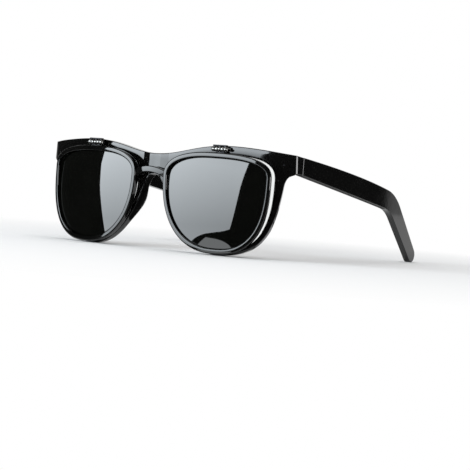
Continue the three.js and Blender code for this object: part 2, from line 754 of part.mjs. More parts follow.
/** Leaf on the frame: a base riveted behind the end piece, with arms back to two knuckles. */
function armFrontLeaf() {
  const seat = FRAME_DEPTH + SEAT_GAP;
  const plan = (x, depth) => onWrap(x, 0, depth).toArray().slice(0, 2);
  const from = rivetAt - ARM_BASE_WIDTH / 2;
  const to = rivetAt + ARM_BASE_WIDTH / 2;
  const base = upright(
    [plan(from, seat), plan(to, seat), plan(to, seat + ARM_LEAF_THICK), plan(from, seat + ARM_LEAF_THICK)],
    armLow,
    armLow + ARM_HINGE_HEIGHT,
  );
  const hold = seat + ARM_LEAF_THICK / 2;
  const arms = [0, 2].map((place) => {
    const { ring, from: low, to: high } = armKnuckleRing(place);
    const arm = upright([
      plan(rivetAt, hold), plan(to - OVERLAP, hold),
      [armHinge.x + armBarrel * 0.75, armHinge.y], [armHinge.x - armBarrel * 0.75, armHinge.y],
    ], low, high);
    return join(ring, arm);
  });
  return join(base, ...arms).subtract(armBore()).subtract(throughEnd(RIVET / 2 + SEAT_GAP, 0, 2 * FRAME_DEPTH));
}

/** Leaf on the temple: the middle knuckle, with an arm to a plate let into the inner face. */
function armLeaf() {
  const { ring, from, to } = armKnuckleRing(1);
  const inner = leafOuter - ARM_LEAF_THICK;
  const arm = upright([
    [armHinge.x - armBarrel * 0.6, armHinge.y], [inner + OVERLAP, armHinge.y],
    [inner + OVERLAP, leafStart + 1.5], [inner - OVERLAP, leafStart + 1.5],
  ], from, to);
  const plate = box(
    [inner, leafStart, armHinge.z - ARM_LEAF_HEIGHT / 2],
    [leafOuter, leafStart + ARM_LEAF_LENGTH, armHinge.z + ARM_LEAF_HEIGHT / 2],
  );
  return join(ring, arm, plate).subtract(armBore());
}

/** Recess in the temple for that plate, open at the joint end. */
function armLeafSeat() {
  return box(
    [armInside - armBarrel, jointBack - 1, armHinge.z - ARM_LEAF_HEIGHT / 2 - SEAT_GAP],
    [leafOuter + SEAT_GAP, leafStart + ARM_LEAF_LENGTH + SEAT_GAP, armHinge.z + ARM_LEAF_HEIGHT / 2 + SEAT_GAP],
  );
}

function armScrew() {
  const rod = ARM_SCREW / 2;
  const head = armBarrel * 0.9;
  const top = ARM_HINGE_HEIGHT + RUNNING_GAP / 2;
  const profile = [
    [0, 0], [rod, 0], [rod, top], [head, top], [head, top + 0.4], [head * 0.75, top + 0.8], [0, top + 0.8],
  ];
  return solid(turned(profile).translate(armHinge.x, armHinge.y, armLow));
}

/** Rivet through the end piece, with a low domed head in front and a closed tail on the leaf. */
function endRivet() {
  const rod = RIVET / 2;
  const head = RIVET_HEAD / 2;
  const shoulder = RIVET_HEAD_THICK;
  const leafBack = FRAME_DEPTH + SEAT_GAP + ARM_LEAF_THICK + SEAT_GAP;
  const profile = [
    [0, -0.2], [head * 0.6, -0.1], [head, 0.05], [head, shoulder], [rod, shoulder],
    [rod, leafBack], [head * 0.85, leafBack], [head * 0.7, leafBack + 0.4], [0, leafBack + 0.4],
  ];
  return solid(placeAtRivet(turned(profile)));
}

// Assembly

const glasses = new THREE.Group();
glasses.add(
  piece('front_frame', frontFrame(), black),
  ...pair('clear_lens', lens(frameOutline, CLEAR_LENS_THICK, clearFront, 0), clear),
  piece('flip_frame', flipFrame(), black),
  ...pair('dark_lens', lens(darkOutline, DARK_LENS_THICK, FLIP_RECESS, FLIP_STANDOFF), filter),
  ...pair('flip_hinge_frame_leaf', atFlipHinge(flipFrameLeaf()), darkSteel),
  ...pair('flip_hinge_rim_leaf', atFlipHinge(flipRimLeaf()), nickel),
  ...pair('flip_hinge_pin', atFlipHinge(flipPin()), nickel),
  ...pair('temple', temple(), black),
  ...pair('temple_hinge_front_leaf', armFrontLeaf(), nickel),
  ...pair('temple_hinge_arm_leaf', armLeaf(), nickel),
  ...pair('temple_hinge_screw', armScrew(), nickel),
  ...pair('end_piece_rivet', endRivet(), darkSteel),
);

// Standing on the table, with the origin under the middle of the whole
const bounds = new THREE.Box3().setFromObject(glasses);
glasses.position.set(0, -(bounds.min.y + bounds.max.y) / 2, -rimFoot);

export default glasses;
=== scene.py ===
"""Looks of the flip-up welding spectacles: smooth mouldings, lenses, brow hinges, finishes and studio."""

import logging
import math
from dataclasses import dataclass
from enum import Enum
from typing import Iterable, Sequence

import bmesh
import bpy
from mathutils import Matrix, Vector


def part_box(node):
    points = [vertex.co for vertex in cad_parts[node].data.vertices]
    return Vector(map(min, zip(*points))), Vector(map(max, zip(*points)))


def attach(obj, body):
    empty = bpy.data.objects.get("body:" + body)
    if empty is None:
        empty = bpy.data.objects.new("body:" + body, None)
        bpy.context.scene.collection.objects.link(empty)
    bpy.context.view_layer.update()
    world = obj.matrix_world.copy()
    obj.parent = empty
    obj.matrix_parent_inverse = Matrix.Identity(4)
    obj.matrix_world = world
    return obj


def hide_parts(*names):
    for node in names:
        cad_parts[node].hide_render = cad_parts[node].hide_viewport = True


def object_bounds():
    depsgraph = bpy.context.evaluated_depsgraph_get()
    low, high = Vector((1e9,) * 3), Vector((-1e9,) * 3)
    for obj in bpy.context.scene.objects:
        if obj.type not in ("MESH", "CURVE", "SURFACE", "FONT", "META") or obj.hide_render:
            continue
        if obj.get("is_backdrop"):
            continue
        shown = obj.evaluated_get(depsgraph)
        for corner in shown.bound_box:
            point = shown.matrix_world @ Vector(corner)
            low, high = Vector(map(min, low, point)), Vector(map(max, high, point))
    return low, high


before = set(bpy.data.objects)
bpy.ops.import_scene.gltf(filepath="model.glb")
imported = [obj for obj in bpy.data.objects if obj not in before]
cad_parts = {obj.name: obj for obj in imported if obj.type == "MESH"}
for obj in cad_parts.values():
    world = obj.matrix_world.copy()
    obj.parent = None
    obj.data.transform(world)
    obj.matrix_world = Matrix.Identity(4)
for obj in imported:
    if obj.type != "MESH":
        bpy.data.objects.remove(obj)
CAD_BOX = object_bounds()

LOG = logging.getLogger("spectacles")
MM = 0.001
CLOSE = 1e-5  # millimetres; points nearer than this are one
CAD_CLOSE = 1e-6  # metres; the same for CAD nodes
CAD_SHARP_ABOVE = math.radians(40.0)
SMOOTH_BELOW = math.radians(38.0)
LENS_SMOOTH_BELOW = math.radians(20.0)

# Sizes that several pieces share, in millimetres from the middle of the bridge
RIM_FOOT = -27.2  # level of the table, on which the rims and the temple tips stand
FRAME_DEPTH = 4.2
FLIP_STANDOFF = 5.3  # flip-up front ahead of the front frame
DARK_RECESS = 1.5  # edge of a dark lens behind the front of its rim
DARK_THICK = 1.4
CLEAR_THICK = 2.0
SEAT = 0.3  # gap between the face of a lens and its opening
GROOVE = 0.9  # depth of the V groove round an opening
GROOVE_PLAY = 0.21  # groove wider than the lens, on each side
EDGE_REACH = 0.48  # V edge of a lens beyond its opening

Mesh = bmesh.types.BMesh
Ring = list[bmesh.types.BMVert]
Material = bpy.types.Material
Node = bpy.types.ShaderNode
Socket = bpy.types.NodeSocket
Tree = bpy.types.NodeTree
Pair = tuple[float, float]
Triple = tuple[float, float, float]
Handles = tuple[Pair, Pair]


class Body(Enum):
    """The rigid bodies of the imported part."""

    FRAME = "frame"
    FLIP_FRONT = "flip_front"
    LEFT_ARM = "left_temple_arm"
    RIGHT_ARM = "right_temple_arm"


class Slot(Enum):
    """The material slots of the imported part."""

    BLACK = "black_plastic"
    CLEAR = "clear_glass"
    DARK = "dark_glass"
    NICKEL = "nickel"
    STEEL = "dark_steel"


class Side(Enum):
    """The left side, which is modelled, and the right, which mirrors it."""

    LEFT = 1
    RIGHT = -1

    @property
    def word(self) -> str:
        """The side as a prefix of piece names."""
        return self.name.lower()

    @property
    def arm(self) -> Body:
        """The temple body on this side."""
        return Body.LEFT_ARM if self is Side.LEFT else Body.RIGHT_ARM


# Shader nodes


def new_group(name: str, inputs: dict[str, float], outputs: Sequence[str]) -> tuple[Tree, Node, Node, Socket]:
    """Starts a node group whose sockets are all numbers.

    Args:
        name: Name of the group.
        inputs: Its inputs with their defaults.
        outputs: Its outputs.

    Returns:
        The group, its input node, its output node and the object coordinates in it.
    """
    tree = bpy.data.node_groups.new(name, "ShaderNodeTree")
    for key, value in inputs.items():
        made = tree.interface.new_socket(name=key, in_out="INPUT", socket_type="NodeSocketFloat")
        made.default_value = value
    for key in outputs:
        tree.interface.new_socket(name=key, in_out="OUTPUT", socket_type="NodeSocketFloat")
    where = tree.nodes.new("ShaderNodeTexCoord").outputs["Object"]
    return tree, tree.nodes.new("NodeGroupInput"), tree.nodes.new("NodeGroupOutput"), where


def empty_material(name: str) -> tuple[Material, Tree]:
    """Makes a material with no nodes.

    Args:
        name: Name of the material.

    Returns:
        The material and its node tree.
    """
    material = bpy.data.materials.new(name)
    material.use_nodes = True
    material.node_tree.nodes.clear()
    return material, material.node_tree


def noise(tree: Tree, where: Socket, scale: Socket | float, detail: float, roughness: float = 0.5) -> Socket:
    """Adds a noise over the surface.

    Args:
        tree: The node tree.
        where: Coordinates of the surface.
        scale: Its scale, fixed or from a socket.
        detail: Its octaves.
        roughness: Share of the finer octaves.

    Returns:
        The socket of its value.
    """
    node = tree.nodes.new("ShaderNodeTexNoise")
    node.inputs["Detail"].default_value = detail
    node.inputs["Roughness"].default_value = roughness
    tree.links.new(where, node.inputs["Vector"])
    if isinstance(scale, float):
        node.inputs["Scale"].default_value = scale
    else:
        tree.links.new(scale, node.inputs["Scale"])
    return node.outputs["Fac"]


def stretched(tree: Tree, where: Socket, scale: Triple, turn: Triple = (0.0, 0.0, 0.0)) -> Socket:
    """Stretches and turns coordinates.

    Args:
        tree: The node tree.
        where: The coordinates.
        scale: Factor along each axis.
        turn: Turn about each axis in radians.

    Returns:
        The socket of the new coordinates.
    """
    node = tree.nodes.new("ShaderNodeMapping")
    node.inputs["Rotation"].default_value = turn
    node.inputs["Scale"].default_value = scale
    tree.links.new(where, node.inputs["Vector"])
    return node.outputs["Vector"]


def ranged(tree: Tree, value: Socket, span: Pair = (0.0, 1.0), to: Pair = (0.0, 1.0)) -> Socket:
    """Maps a value from one range to another and holds it at both ends.

    Args:
        tree: The node tree.
        value: The value.
        span: Range that it comes in.
        to: Range that it leaves in.

    Returns:
        The socket of the new value.
    """
    node = tree.nodes.new("ShaderNodeMapRange")
    for key, level in zip(("From Min", "From Max", "To Min", "To Max"), (*span, *to)):
        node.inputs[key].default_value = level
    tree.links.new(value, node.inputs["Value"])
    return node.outputs["Result"]


def worked(tree: Tree, operation: str, one: Socket, other: Socket) -> Socket:
    """Puts two values together.

    Args:
        tree: The node tree.
        operation: Name of the sum, as the Math node has it.
        one: The first value.
        other: The second value.

    Returns:
        The socket of the result.
    """
    node = tree.nodes.new("ShaderNodeMath")
    node.operation = operation
    tree.links.new(one, node.inputs[0])
    tree.links.new(other, node.inputs[1])
    return node.outputs["Value"]


# Finishes


def polish_group() -> Tree:
    """Builds the shared effect of handled gloss: soft haze, hairline scratches and a faint moulding ripple.

    Returns:
        A node group with a haze mask, a scratch mask and a height.
    """
    haze_span, scratch_span = (0.35, 0.75), (0.66, 0.74)
    scratch_stretch, scratch_turn = (1.0, 0.07, 1.0), (0.5, 0.9, 0.35)
    ripple_scale = 260.0
    defaults = {"Haze Scale": 120.0, "Scratch Scale": 500.0}
    tree, given, out, where = new_group("polish_marks", defaults, ("Haze", "Scratches", "Height"))
    cloud = noise(tree, where, given.outputs["Haze Scale"], detail=5.0, roughness=0.62)
    along = stretched(tree, where, scratch_stretch, scratch_turn)
    lines = noise(tree, along, given.outputs["Scratch Scale"], detail=2.0)
    tree.links.new(ranged(tree, cloud, haze_span), out.inputs["Haze"])
    tree.links.new(ranged(tree, lines, scratch_span), out.inputs["Scratches"])
    tree.links.new(noise(tree, where, ripple_scale, detail=1.0), out.inputs["Height"])
    return tree


def brushed_group() -> Tree:
    """Builds the shared effect of plated metal: fine brushing along X and darker tarnish.

    Returns:
        A node group with a tarnish mask and a brushing value, which is also its height.
    """
    brush_stretch, tarnish_span = (0.12, 1.0, 1.0), (0.45, 0.7)
    defaults = {"Brush Scale": 900.0, "Tarnish Scale": 350.0}
    tree, given, out, where = new_group("brushed_plate", defaults, ("Brushing", "Tarnish"))
    along = stretched(tree, where, brush_stretch)
    spots = noise(tree, where, given.outputs["Tarnish Scale"], detail=4.0)
    tree.links.new(noise(tree, along, given.outputs["Brush Scale"], detail=3.0), out.inputs["Brushing"])
    tree.links.new(ranged(tree, spots, tarnish_span), out.inputs["Tarnish"])
    return tree


class Effects:
    """The shared node groups, each built once."""

    polish: Tree = polish_group()
    brushed: Tree = brushed_group()


@dataclass(frozen=True)
class Finish:
    """What every finish has: a name, two close colours and a range of roughness."""

    name: str
    colour: Triple
    shade: Triple
    smooth: float
    rough: float

    def make(self) -> Material:
        """Builds the material.

        Returns:
            The material, with one shader.
        """
        material = bpy.data.materials.new(self.name)
        material.use_nodes = True
        tree = material.node_tree
        self.dress(tree, tree.nodes["Principled BSDF"])
        return material

    def dress(self, tree: Tree, shader: Node) -> None:
        """Adds the nodes of the finish; each kind has its own."""
        raise NotImplementedError

    def group(self, tree: Tree, effect: Tree, values: dict[str, float]) -> Node:
        """Places a shared effect with this finish's own values.

        Args:
            tree: Node tree of the material.
            effect: The shared node group.
            values: Its inputs by name.

        Returns:
            The group node.
        """
        node = tree.nodes.new("ShaderNodeGroup")
        node.node_tree = effect
        for key, value in values.items():
            node.inputs[key].default_value = value
        return node

    def tint(self, tree: Tree, mask: Socket, shader: Node) -> None:
        """Varies the base colour between the two colours by a mask.

        Args:
            tree: Node tree of the material.
            mask: Value from 0 to 1 over the surface.
            shader: The shader that takes the colour.
        """
        mix = tree.nodes.new("ShaderNodeMix")
        mix.data_type = "RGBA"
        mix.inputs["A"].default_value = (*self.colour, 1.0)
        mix.inputs["B"].default_value = (*self.shade, 1.0)
        tree.links.new(mask, mix.inputs["Factor"])
        tree.links.new(mix.outputs["Result"], shader.inputs["Base Color"])

    def gloss(self, tree: Tree, mask: Socket, shader: Node) -> None:
        """Varies the roughness between the two limits by a mask from 0 to 1."""
        tree.links.new(ranged(tree, mask, to=(self.smooth, self.rough)), shader.inputs["Roughness"])

    def relief(self, tree: Tree, height: Socket, shader: Node, strength: float, distance: float) -> None:
        """Adds a bump.

        Args:
            tree: Node tree of the material.
            height: Height over the surface.
            shader: The shader that takes the normal.
            strength: Strength of the bump.
            distance: Height of the relief in metres.
        """
        bump = tree.nodes.new("ShaderNodeBump")
        bump.inputs["Strength"].default_value = strength
        bump.inputs["Distance"].default_value = distance
        tree.links.new(height, bump.inputs["Height"])
        tree.links.new(bump.outputs["Normal"], shader.inputs["Normal"])


@dataclass(frozen=True)
class GlossPlastic(Finish):
    """Polished black moulding with a little haze, hairline scratches and a moulding ripple."""

    ior: float = 1.5
    haze_scale: float = 90.0
    scratch_scale: float = 1400.0
    scratch_share: float = 0.35
    ripple: float = 0.007
    ripple_height: float = 0.0004

    def dress(self, tree: Tree, shader: Node) -> None:
        """Adds the nodes of the finish.

        Args:
            tree: Node tree of the material.
            shader: Its shader.
        """
        scales = {"Haze Scale": self.haze_scale, "Scratch Scale": self.scratch_scale}
        marks = self.group(tree, Effects.polish, scales)
        worn = tree.nodes.new("ShaderNodeMath")
        worn.operation = "MULTIPLY_ADD"
        worn.use_clamp = True
        worn.inputs[1].default_value = self.scratch_share
        tree.links.new(marks.outputs["Scratches"], worn.inputs[0])
        tree.links.new(marks.outputs["Haze"], worn.inputs[2])
        self.tint(tree, marks.outputs["Haze"], shader)
        self.gloss(tree, worn.outputs["Value"], shader)
        self.relief(tree, marks.outputs["Height"], shader, self.ripple, self.ripple_height)
        shader.inputs["IOR"].default_value = self.ior


@dataclass(frozen=True)
class LensGlass(Finish):
    """Lens with a mirror gloss and faint smears: a near-opaque dark filter, or clear."""

    ior: float = 1.5
    haze_scale: float = 60.0
    transmission: float = 0.0

    def dress(self, tree: Tree, shader: Node) -> None:
        """Adds the nodes of the finish.

        Args:
            tree: Node tree of the material.
            shader: Its shader.
        """
        haze = self.group(tree, Effects.polish, {"Haze Scale": self.haze_scale}).outputs["Haze"]
        self.tint(tree, haze, shader)
        self.gloss(tree, haze, shader)
        shader.inputs["IOR"].default_value = self.ior
        shader.inputs["Transmission Weight"].default_value = self.transmission


@dataclass(frozen=True)
class PlatedMetal(Finish):
    """Brushed plated metal with darker tarnish."""

    brush_scale: float = 2600.0
    tarnish_scale: float = 700.0
    brush_strength: float = 0.12
    brush_height: float = 0.00003

    def dress(self, tree: Tree, shader: Node) -> None:
        """Adds the nodes of the finish.

        Args:
            tree: Node tree of the material.
            shader: Its shader.
        """
        scales = {"Brush Scale": self.brush_scale, "Tarnish Scale": self.tarnish_scale}
        plate = self.group(tree, Effects.brushed, scales)
        brushing = plate.outputs["Brushing"]
        self.tint(tree, plate.outputs["Tarnish"], shader)
        self.gloss(tree, brushing, shader)
        self.relief(tree, brushing, shader, self.brush_strength, self.brush_height)
        shader.inputs["Metallic"].default_value = 1.0


class Palette:
    """The finishes of the part, by material slot."""

    recipes: dict[Slot, Finish] = {
        Slot.BLACK: GlossPlastic("black_gloss_plastic", colour=(0.0011, 0.0011, 0.001),
                                 shade=(0.0022, 0.0022, 0.002), smooth=0.02, rough=0.06),
        Slot.DARK: LensGlass("dark_filter_glass", colour=(0.0006, 0.0007, 0.0005),
                             shade=(0.0013, 0.0014, 0.0011), smooth=0.012, rough=0.03, ior=1.58),
        Slot.CLEAR: LensGlass("clear_safety_glass", colour=(0.96, 0.98, 0.97), shade=(0.93, 0.955, 0.95),
                              smooth=0.0, rough=0.03, haze_scale=70.0, transmission=1.0),
        Slot.NICKEL: PlatedMetal("nickel_plate", colour=(0.25, 0.246, 0.236), shade=(0.15, 0.147, 0.141),
                                 smooth=0.28, rough=0.44),
        Slot.STEEL: PlatedMetal("blackened_steel", colour=(0.018, 0.018, 0.019),
                                shade=(0.009, 0.009, 0.0095), smooth=0.22, rough=0.4),
    }

    def __init__(self) -> None:
        """Makes every material once."""
        self.materials: dict[Slot, Material] = {slot: kind.make() for slot, kind in self.recipes.items()}

    def __getitem__(self, slot: Slot) -> Material:
        """The material of a slot."""
        return self.materials[slot]


# Meshes


def place(ring: Ring, points: Sequence[Vector]) -> None:
    """Moves the vertices of a ring to a row of points."""
    for vertex, point in zip(ring, points):
        vertex.co = point


def settled(mesh: Mesh) -> Mesh:
    """Turns all faces of a closed mesh outwards and returns it."""
    bmesh.ops.recalc_face_normals(mesh, faces=mesh.faces[:])
    return mesh


def shifted(mesh: Mesh, way: Sequence[float]) -> Mesh:
    """Moves a whole mesh and returns it."""
    bmesh.ops.translate(mesh, vec=way, verts=mesh.verts[:])
    return mesh


def new_ring(mesh: Mesh, points: Sequence[Vector]) -> Ring:
    """Starts a closed ring of edges.

    Args:
        mesh: The mesh to add it to.
        points: Places of its vertices.

    Returns:
        The vertices in order.
    """
    ring = list(bmesh.ops.create_circle(mesh, segments=len(points), radius=1.0)["verts"])
    place(ring, points)
    return ring


def ring_edges(mesh: Mesh, ring: Ring) -> list[bmesh.types.BMEdge]:
    """The edges round a closed ring."""
    return [mesh.edges.get((a, b)) for a, b in zip(ring, ring[1:] + ring[:1])]


def grown(mesh: Mesh, ring: Ring, points: Sequence[Vector]) -> Ring:
    """Extrudes a ring and moves the new one.

    Args:
        mesh: The mesh that holds the ring.
        ring: The ring to extrude.
        points: Places of the new vertices.

    Returns:
        The new vertices in the same order.
    """
    made = bmesh.ops.extrude_edge_only(mesh, edges=ring_edges(mesh, ring))["geom"]
    fresh = {item for item in made if isinstance(item, bmesh.types.BMVert)}
    new = [next(e.other_vert(v) for e in v.link_edges if e.other_vert(v) in fresh) for v in ring]
    place(new, points)
    return new


def skinned(rows: Sequence[Sequence[Vector]], endless: bool = False) -> Mesh:
    """Skins closed rows of points one after another.

    Args:
        rows: Rows of equally many points.
        endless: True where the last row meets the first, and False to cap both ends.

    Returns:
        A closed mesh.
    """
    mesh = bmesh.new()
    first = ring = new_ring(mesh, rows[0])
    for row in rows[1:]:
        ring = grown(mesh, ring, row)
    if endless:
        last = grown(mesh, ring, rows[0])
        bmesh.ops.weld_verts(mesh, targetmap=dict(zip(last, first)))
    else:
        for end in (first, ring):
            bmesh.ops.contextual_create(mesh, geom=ring_edges(mesh, end))
    return settled(mesh)


def filled(points: Sequence[Vector]) -> Mesh:
    """Makes one flat face.

    Args:
        points: Its outline.

    Returns:
        The open mesh.
    """
    mesh = bmesh.new()
    bmesh.ops.contextual_create(mesh, geom=ring_edges(mesh, new_ring(mesh, points)))
    return mesh


def turned(profile: Sequence[Pair], axis: Vector, steps: int = 40) -> Mesh:
    """Spins a closed or axis-to-axis profile about a line through the origin.

    Args:
        profile: Points as radius and distance along the axis. A ring's profile repeats its first point.
        axis: Direction of the axis.
        steps: Sides of the turned piece.

    Returns:
        A closed mesh.
    """
    mesh = bmesh.new()
    across = axis.orthogonal().normalized()
    points = [mesh.verts.new(across * radius + axis * along) for radius, along in profile]
    edges = [mesh.edges.new(pair) for pair in zip(points, points[1:])]
    bmesh.ops.spin(mesh, geom=points + edges, cent=(0, 0, 0), axis=axis, dvec=(0, 0, 0),
                   angle=math.tau, steps=steps, use_merge=True)
    bmesh.ops.remove_doubles(mesh, verts=mesh.verts[:], dist=CLOSE)
    return settled(mesh)


def rounded(mesh: Mesh, edges: Sequence[bmesh.types.BMEdge], soft: float, segments: int = 3) -> Mesh:
    """Rounds edges of a closed mesh.

    Args:
        mesh: The mesh.
        edges: The edges.
        soft: Radius of the rounding.
        segments: Its steps.

    Returns:
        The same mesh.
    """
    bmesh.ops.bevel(mesh, geom=edges, offset=soft, offset_type="OFFSET", segments=segments, profile=0.5,
                    affect="EDGES", material=-1, clamp_overlap=True)
    return settled(mesh)


def block(low: Sequence[float], high: Sequence[float], soft: float) -> Mesh:
    """A box between two corners with rounded edges.

    Args:
        low: Lowest corner.
        high: Highest corner.
        soft: Radius of its edges.

    Returns:
        A closed mesh.
    """
    mesh = bmesh.new()
    bmesh.ops.create_cube(mesh, size=1.0)
    bmesh.ops.scale(mesh, vec=Vector(high) - Vector(low), verts=mesh.verts[:])
    shifted(mesh, (Vector(high) + Vector(low)) / 2)
    return rounded(mesh, mesh.edges[:], soft)


def stored(mesh: Mesh, name: str = "store") -> bpy.types.Mesh:
    """Writes a mesh to Blender's data and frees it.

    Args:
        mesh: The mesh.
        name: Name of the data.

    Returns:
        The data.
    """
    data = bpy.data.meshes.new(name)
    mesh.to_mesh(data)
    mesh.free()
    return data


def shown(data: bpy.types.ID, name: str = "store") -> bpy.types.Object:
    """Puts an object into the scene.

    Args:
        data: What it shows.
        name: Name of the object.

    Returns:
        The object, at the origin.
    """
    made = bpy.data.objects.new(name, data)
    bpy.context.scene.collection.objects.link(made)
    return made


def gathered(parts: Iterable[Mesh]) -> Mesh:
    """Puts several meshes into one without joining their walls.

    Args:
        parts: The meshes, which are freed.

    Returns:
        The whole.
    """
    whole = bmesh.new()
    for part in parts:
        data = stored(part)
        whole.from_mesh(data)
        bpy.data.meshes.remove(data)
    return whole


def joined(base: Mesh, other: Mesh) -> Mesh:
    """Joins two closed meshes into one wall.

    Args:
        base: The first mesh, which is freed.
        other: The second mesh, which is freed.

    Returns:
        The result.
    """
    things = [shown(stored(mesh)) for mesh in (base, other)]
    modifier = things[0].modifiers.new("join", "BOOLEAN")
    modifier.operation = "UNION"
    modifier.solver = "MANIFOLD"
    modifier.object = things[1]
    graph = bpy.context.evaluated_depsgraph_get()
    made = bpy.data.meshes.new_from_object(things[0].evaluated_get(graph))
    result = bmesh.new()
    result.from_mesh(made)
    for data in (made, *(thing.data for thing in things)):
        bpy.data.meshes.remove(data)
    return result


def mirrored(mesh: Mesh, side: Side) -> Mesh:
    """Mirrors a left-hand mesh for the right side.

    Args:
        mesh: The mesh as modelled.
        side: The side it is for.

    Returns:
        The same mesh, facing outwards.
    """
    if side is Side.RIGHT:
        bmesh.ops.scale(mesh, vec=(-1.0, 1.0, 1.0), verts=mesh.verts[:])
        bmesh.ops.reverse_faces(mesh, faces=mesh.faces[:])
    return mesh


class Maker:
    """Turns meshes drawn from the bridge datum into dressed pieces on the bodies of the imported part."""

    def __init__(self, palette: Palette) -> None:
        """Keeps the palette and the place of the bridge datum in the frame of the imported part.

        Args:
            palette: The finishes.
        """
        low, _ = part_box("front_frame")
        self.palette = palette
        self.shift = Vector((0.0, low.y, low.z - RIM_FOOT * MM))

    def piece(self, name: str, mesh: Mesh, body: Body, slot: Slot, node: str, accent: Slot | None = None,
              smooth_below: float = SMOOTH_BELOW) -> None:
        """Makes one piece at the origin, with its place in its mesh.

        Args:
            name: Name of the piece.
            mesh: Its mesh in millimetres from the bridge datum, which is freed.
            body: The body it moves with.
            slot: Its material slot.
            node: The CAD node it stands for.
            accent: The slot of its faces with material index 1.
            smooth_below: Edges that bend by less than this angle are shaded smooth.
        """
        bmesh.ops.scale(mesh, vec=(MM, MM, MM), verts=mesh.verts[:])
        shifted(mesh, self.shift)
        for face in mesh.faces:
            face.smooth = True
        for edge in mesh.edges:
            edge.smooth = len(edge.link_faces) == 2 and edge.calc_face_angle(0.0) < smooth_below
        data = stored(mesh, name)
        data.materials.append(self.palette[slot])
        if accent:
            data.materials.append(self.palette[accent])
        made = shown(data, name)
        made.modifiers.new("even_shading", "WEIGHTED_NORMAL").keep_sharp = True
        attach(made, body.value)
        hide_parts(node)
        LOG.info("%s: %d faces on %s", name, len(data.polygons), body.value)

    def dress(self, node: str, slot: Slot, soft: float) -> None:
        """Gives a CAD node its finish and softens its edges.

        Args:
            node: Name of the node.
            slot: Its material slot.
            soft: Width of the softened edges in millimetres.
        """
        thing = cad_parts[node]
        thing.data.materials.clear()
        thing.data.materials.append(self.palette[slot])
        thing.modifiers.new("closed", "WELD").merge_threshold = CAD_CLOSE
        bevel = thing.modifiers.new("soft_edges", "BEVEL")
        bevel.width = soft * MM
        bevel.segments = 2
        bevel.limit_method = "ANGLE"
        bevel.angle_limit = CAD_SHARP_ABOVE
        bevel.harden_normals = False
        thing.modifiers.new("even_shading", "WEIGHTED_NORMAL").keep_sharp = True
        LOG.info("%s: CAD node dressed as %s", node, slot.value)


# The shape of the front


@dataclass(frozen=True)
class Wrap:
    """The curved surface that the front follows, in millimetres from the middle of the bridge."""

    radius: float = 262.0
    half_width: float = 71.9
    sweep: float = 1.9  # ends swept back behind the curve
    sweep_from: float = 62.0

    def share(self, x: float) -> float:
        """How far a place is along the swept-back end, from 0 to 1."""
        return max(0.0, (x - self.sweep_from) / (self.half_width - self.sweep_from))

    def sag(self, x: float) -> float:
        """How far the front has curved back at a distance x from its middle."""
        return self.radius - math.sqrt(self.radius ** 2 - x ** 2) + self.sweep * self.share(x) ** 2

    def lean(self, x: float) -> float:
        """The angle by which the front has turned back at that distance."""
        swept = 2.0 * self.sweep * self.share(x) / (self.half_width - self.sweep_from)
        return math.atan(math.tan(math.asin(x / self.radius)) + swept)

    def at(self, x: float, z: float, depth: float, standoff: float = 0.0) -> Vector:
        """A point behind the front surface.

        Args:
            x: Distance from the middle.
            z: Height above the datum.
            depth: Depth behind the surface.
            standoff: How far ahead of the front that surface stands.

        Returns:
            The point.
        """
        lean = self.lean(x)
        return Vector((x - depth * math.sin(lean), self.sag(x) - standoff + depth * math.cos(lean), z))


WRAP = Wrap()


def on_curve(points: Sequence[Vector], share: float) -> tuple[Vector, Vector]:
    """A place on a straight or curved stretch.

    Args:
        points: Its control points, two for a line and three or four for a curve.
        share: From 0 at its start to 1 at its end.

    Returns:
        The place, and the unit vector along the stretch there.
    """
    row = list(points)
    while len(row) > 2:
        row = [a.lerp(b, share) for a, b in zip(row, row[1:])]
    return row[0].lerp(row[1], share), (row[1] - row[0]).normalized()


def evenly(points: Sequence[Vector], count: int) -> list[Vector]:
    """Spreads points evenly along a closed outline.

    Args:
        points: A fine outline.
        count: Points wanted.

    Returns:
        The evenly spaced points.
    """
    closed = [*points, points[0]]
    reach = [0.0]
    for a, b in zip(closed, closed[1:]):
        reach.append(reach[-1] + (b - a).length)
    spread, k = [], 0
    for step in range(count):
        target = reach[-1] * step / count
        while reach[k + 1] < target:
            k += 1
        share = (target - reach[k]) / (reach[k + 1] - reach[k])
        spread.append(closed[k].lerp(closed[k + 1], share))
    return spread


def offset(points: Sequence[Vector], distance: float, taller: float = 0.0) -> list[Vector]:
    """Moves a closed outline outwards along its normals.

    Args:
        points: The outline, clockwise as seen from ahead.
        distance: How far.
        taller: Share by which it moves further at its top and foot.

    Returns:
        The moved outline.
    """
    moved = []
    for k, point in enumerate(points):
        along = (points[(k + 1) % len(points)] - points[k - 1]).normalized()
        moved.append(point + Vector((-along.y, along.x)) * distance * (1.0 + taller * along.x ** 2))
    return moved


def groove_section(middle: float, thick: float) -> list[Pair]:
    """The section of the V groove that holds a lens, from its back lip to its front lip.

    Args:
        middle: Depth of the middle of the lens edge.
        thick: Thickness of the lens.

    Returns:
        Points as reach beyond the opening and depth.
    """
    half = thick / 2 + GROOVE_PLAY
    return [(0.0, middle + half), (GROOVE, middle), (0.0, middle - half)]


